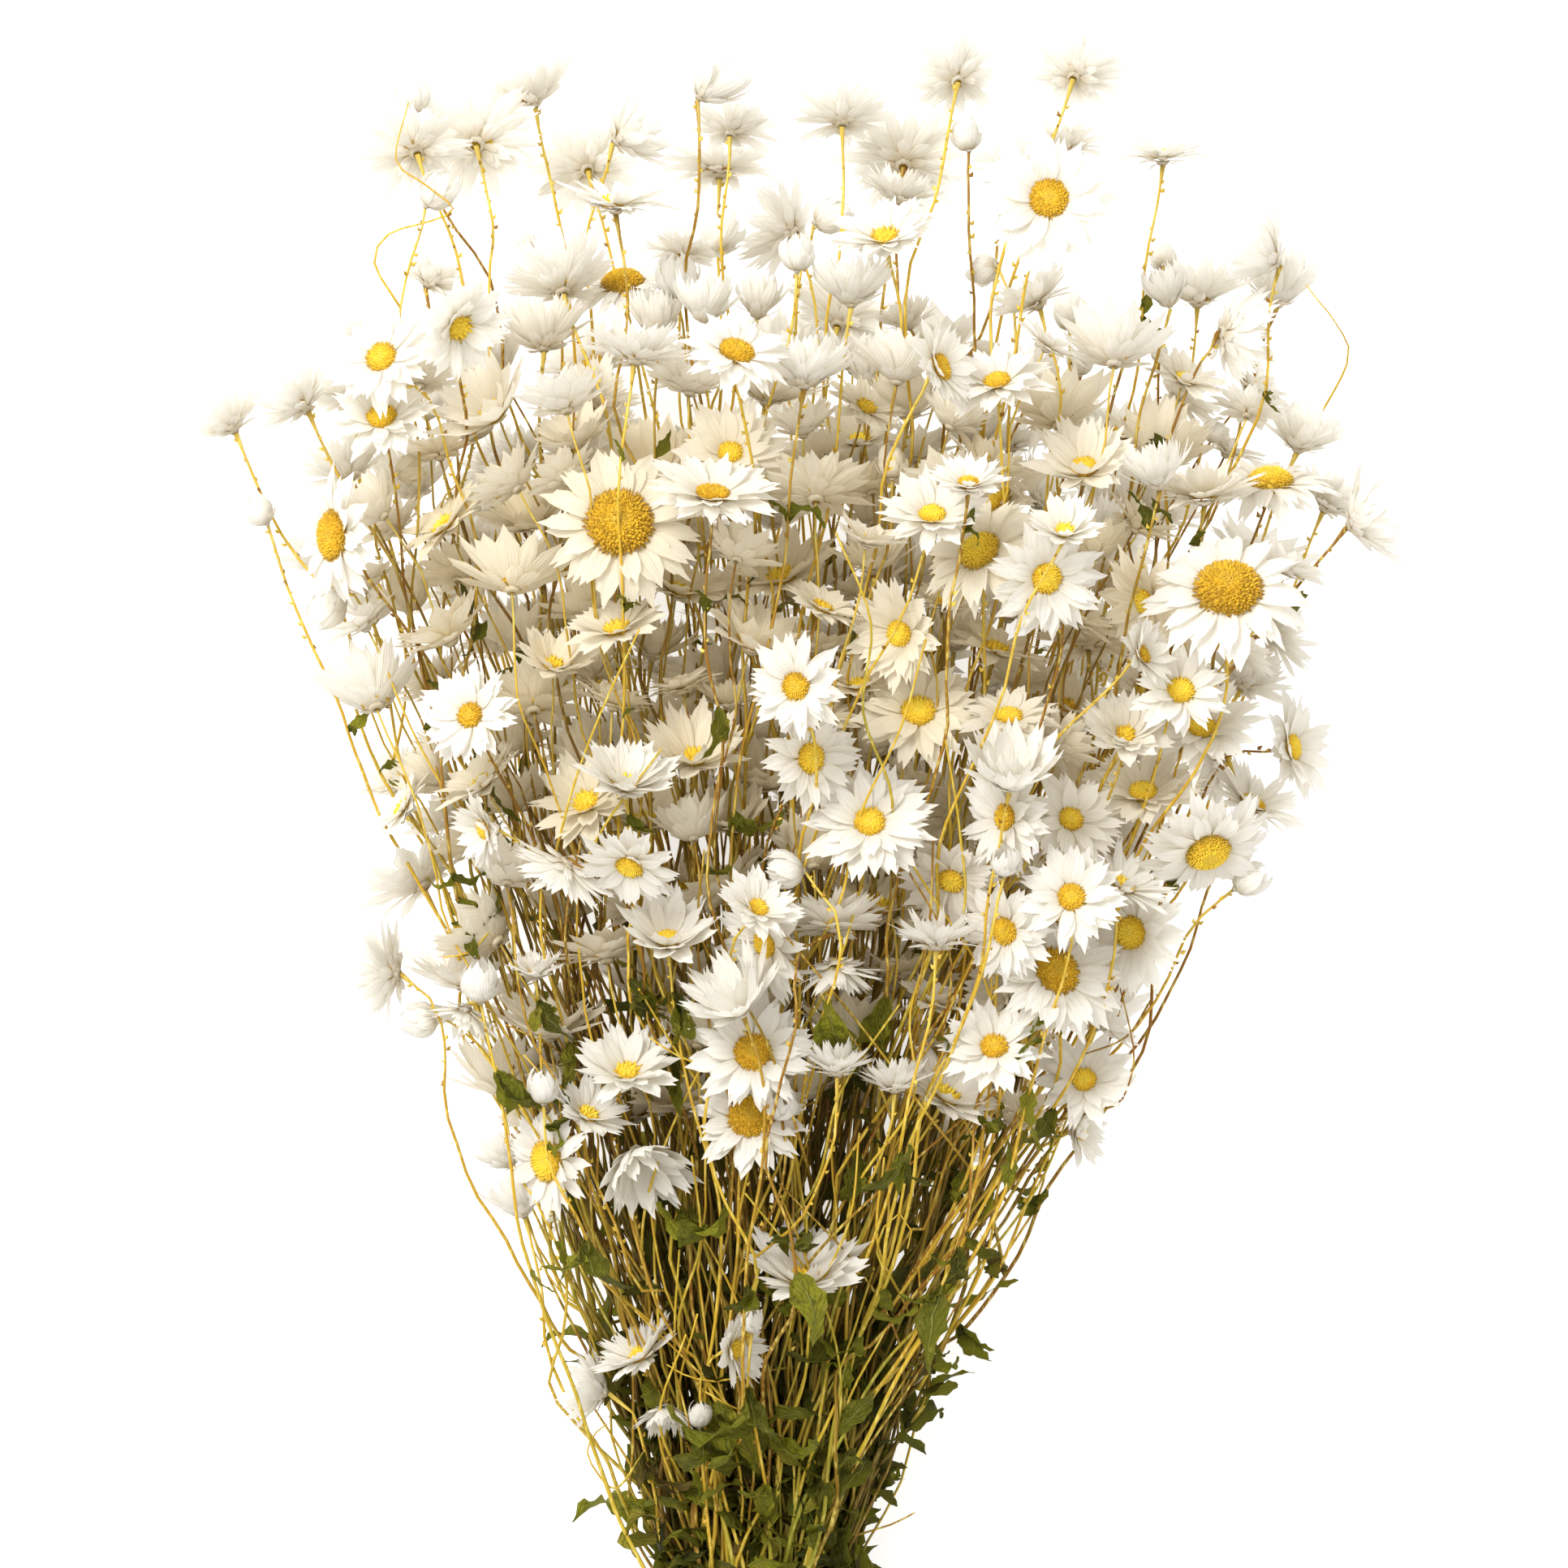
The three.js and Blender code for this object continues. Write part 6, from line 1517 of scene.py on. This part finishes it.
def picture_leaves(sprays):
    """The larger leaves that show, each on the stem nearest to its foot, in front."""
    draw = random.Random(23)
    places = [(spot, spray.layer) for spray in sprays for strand in spray.strands for spot in strand.line]
    for across, down, length, width, aim in PICTURE_LEAVES:
        for share in (1.3, 1.0, 0.75) if down > 1240 else (1.1, 0.8):
            way = facing(aim + draw.uniform(-26, 26), draw.uniform(62, 98))
            x, y = picture_place(across, down)
            x, y = x - 0.5 * length * way.x + draw.uniform(-2, 2), y - 0.5 * length * way.y
            distance = lambda at: math.hypot(at[0].x - x, at[0].y - y) - 0.22 * at[0].z
            spot, layer = min(places, key=distance)
            drab = draw.choice([0.1, 0.25, 0.4, 0.5, 0.6, 0.72])
            if (across, down) in BROWN_LEAVES:
                drab = draw.uniform(0.95, 1)
            elif (across, down) in BRIGHT_LEAVES:
                drab = draw.uniform(0.6, 0.75)
            narrow = clamp(width, 0.27 * length, 0.40 * length)
            yield layer, (spot, way, draw.uniform(-1.2, 1.2), share * length, share * narrow, drab)


LEAVES_PER_STRAND = [3, 4, 4, 5]
LEAVES_PER_INNER_STRAND = [0, 1, 1, 2]
FRONT_LAYER = 4  # from here up a strand has more leaves
MORE_IN_FRONT = 2
LEAVES_REACH = [0.36, 0.45, 0.55, 0.85]  # how far up a strand its leaves may sit


def small_leaves(layered):
    """Lesser leaves along each layer's strands, most of them low down, tips mostly up."""
    draw = random.Random(31)
    for layer, strands in layered:
        for strand in strands:
            if len(strands) == 1:
                leaves = draw.choice(LEAVES_PER_INNER_STRAND)
            else:
                leaves = draw.choice(LEAVES_PER_STRAND) + (MORE_IN_FRONT if layer >= FRONT_LAYER else 0)
            for _ in range(leaves):
                top = draw.choice(LEAVES_REACH)
                k = draw.randrange(int(0.19 * len(strand.line)), int(top * len(strand.line)))
                spot, ahead = strand.line[k], strand.line[k + 1]
                way = (ahead - spot).normalized()
                stray = Vector((draw.uniform(-1, 1), draw.uniform(-0.2, 0.2), draw.uniform(-0.6, 1)))
                way = (way * draw.choice([1, 1, 1, -0.7]) + stray * 0.6).normalized()
                length = draw.uniform(12, 30) * (1.2 - 0.95 * k / len(strand.line))
                width = length * draw.uniform(0.22, 0.36)
                yield layer, (spot, way, draw.uniform(0, 6.3), length, width, draw.random())


def grow_scales(heap, strands):
    """Tiny scales that stand off the last stretch below a head, left and right."""
    draw = random.Random(43)
    seats, ways, rolls, sizes = [], [], [], []
    for strand in strands:
        side = draw.uniform(0, 6)
        for k in range(len(strand.line) - 2, max(1, len(strand.line) - 8), -1):
            for share in (0.1, 0.6):
                spot = strand.line[k].lerp(strand.line[k + 1], share)
                along = (strand.line[k + 1] - strand.line[k]).normalized()
                u, w = sides_of(along)
                side += 2.4 + draw.uniform(-0.4, 0.4)
                out = u * math.cos(side) + w * math.sin(side)
                if draw.random() < 0.25:
                    continue
                seats.append(spot + out * 0.25)
                ways.append((along + out * 0.8).normalized())
                rolls.append(draw.uniform(0, 6))
                sizes.append(draw.uniform(1.2, 2.5))
    points = place_copies(SCALE, seats, ways, rolls, sizes, [1.1 * size for size in sizes])
    tones = [draw.random() for _ in seats]
    heap.add(points, SCALE.faces, 0 * SCALE.flat, tone=tones, along=np.full(len(seats), 0.95))


def grow_band():
    """The rubber band: turns of one round cord that cross a little, round the stems."""
    around = 96
    reach = BAND_CLEARANCE + 0.5 * BAND_THICKNESS
    line = []
    for k in range(around * BAND_TURNS):
        turn = 2 * math.pi * k / around
        slide = BAND_CROSSING * math.sin(turn / BAND_TURNS + 0.35 * math.sin(turn))
        x = (TIE_HALF_WIDTH + reach) * math.cos(turn)
        z = (TIE_HALF_DEPTH + reach) * math.sin(turn)
        line.append(Vector((x, slide, TIE_HEIGHT + z)))
    radii = [0.5 * BAND_THICKNESS] * len(line)
    band = round_lines("rubber_band", [(line, radii)], 3, tan_latex(), closed=True)
    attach(band, "root")
    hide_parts("tie")


def grow_flowers(layer, deep):
    """The petals and discs of one layer of the tie, the heads deep in the bunch among them."""
    sprays = [spray for spray in SPRAYS if spray.layer == layer]
    heads = [head for spray in sprays for head in spray.heads]
    names = [f"spray_{SPRAYS.index(spray) + 1:02d}" for spray in sprays]
    heap = Heap()
    grow_petals(heap, [head for head in heads if not head.feathery], PETALS)
    grow_petals(heap, [head for head in heads if head.feathery], FEATHERY_PETALS)
    grow_petals(heap, deep, PLAIN_PETALS)
    for head in [*heads, *deep]:
        grow_calyx(heap, head)
    petals = heap.piece(f"papery_petals_{layer + 1}", PAPERY, "papery_petal")
    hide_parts(*names)
    heap = Heap()
    for head in [*heads, *deep]:
        if not head.bud and head.opening > 0.5:
            grow_disc(heap, head)
    discs = heap.piece(f"golden_discs_{layer + 1}", GOLDEN, "golden_disc", mapped=False)
    discs.data.shade_flat()


def grow_stalks(layer, thin, leaves):
    """The stems, scales and leaves of one layer of the tie."""
    strands = [strand for spray in SPRAYS if spray.layer == layer for strand in spray.strands]
    stem_piece(f"straw_stems_{layer + 1}", strands + thin)
    heap = Heap()
    grow_scales(heap, strands)
    scales = heap.piece(f"stem_scales_{layer + 1}", STRAW, "straw_stem", mapped=False)
    scales.data.shade_flat()
    heap = Heap()
    grow_leaves(heap, leaves)
    heap.piece(f"dried_leaves_{layer + 1}", LEAFY, "dried_leaf")


def grow_bunch():
    draw = random.Random(8)
    inner = inner_heads()
    for number, head in enumerate([*HEADS, *(listed[0] for listed in inner)]):
        head.draw = random.Random(1000 + number)
        head.feathery = head.face.z < 0.45 and not (head.bud or head.inner or head.pinned)
    for spray in SPRAYS:
        spray.strands = [head_strand(spray, index, draw) for index in range(len(spray.heads))]
    thin = [(row, inner_strand(head, root, draw)) for head, row, root in inner]
    leaves = {layer: [] for layer in range(len(TIE_ROWS))}
    layered = [(spray.layer, spray.strands) for spray in SPRAYS]
    layered += [(row, [strand]) for row, strand in thin]
    for layer, leaf in [*picture_leaves(SPRAYS), *small_leaves(layered)]:
        leaves[layer].append(leaf)
    strays = stray_strands(HEADS, SPRAYS)
    for layer in range(len(TIE_ROWS)):
        grow_flowers(layer, [head for head, row, root in inner if row == layer])
        if layer == len(TIE_ROWS) - 1:
            stem_piece("stray_strands", strays + rising_strands(HEADS, SPRAYS))
        grow_stalks(layer, [strand for row, strand in thin if row == layer], leaves[layer])
    grow_band()


def soft_lamp(name, place, aim, size, watts):
    light = bpy.data.lights.new(name, "AREA")
    light.shape, light.size, light.energy = "SQUARE", size, watts
    lamp = bpy.data.objects.new(name, light)
    bpy.context.collection.objects.link(lamp)
    lamp.location = place
    lamp.rotation_euler = (Vector(aim) - Vector(place)).to_track_quat("-Z", "Y").to_euler()


def studio():
    """A wide white floor, even white light from all round and one broad soft lamp."""
    deselected()
    bpy.ops.mesh.primitive_plane_add(size=24)
    floor = bpy.context.object
    floor.name = "white_floor"
    floor.data.materials.append(white_ground())
    floor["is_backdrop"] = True
    world = bpy.data.worlds.new("even white light")
    bpy.context.scene.world = world
    world.use_nodes = True
    sky = world.node_tree.nodes["Background"]
    sky.inputs["Color"].default_value = (1, 0.985, 0.955, 1)
    sky.inputs["Strength"].default_value = 1.0
    world.cycles.sampling_method = "NONE"
    soft_lamp("upper left softbox", (-0.9, 1.1, 1.7), (0, 0.06, 0), 0.9, 40)
    bpy.context.scene.view_settings.view_transform = "Standard"


PICTURE_SIDE = 1932  # pixels
CAMERA_HEIGHT = 2.6
MEAN_HEIGHT = 0.08  # of the heads that show, where the picture's scale holds


def photographer():
    """The camera looks straight down on the bunch, as the picture looks at its front."""
    x, y = picture_place(0.5 * PICTURE_SIDE, 0.5 * PICTURE_SIDE)
    lens = bpy.data.cameras.new("product camera")
    lens.sensor_width = lens.sensor_height = 36
    shown = PICTURE_SIDE * PICTURE_SCALE / 1000
    lens.lens = 36 * (CAMERA_HEIGHT - MEAN_HEIGHT) / shown
    lens.clip_end = 50
    camera = bpy.data.objects.new("product camera", lens)
    bpy.context.collection.objects.link(camera)
    camera.location = ((x + SHIFT.x) / 1000, (y + SHIFT.y) / 1000, CAMERA_HEIGHT)
    bpy.context.scene.camera = camera


def write_sizes():
    boxes = {"cad": CAD_BOX, "visual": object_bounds()}
    {key: [list(corner) for corner in box] for key, box in boxes.items()}


photographer()
studio()
grow_bunch()
write_sizes()
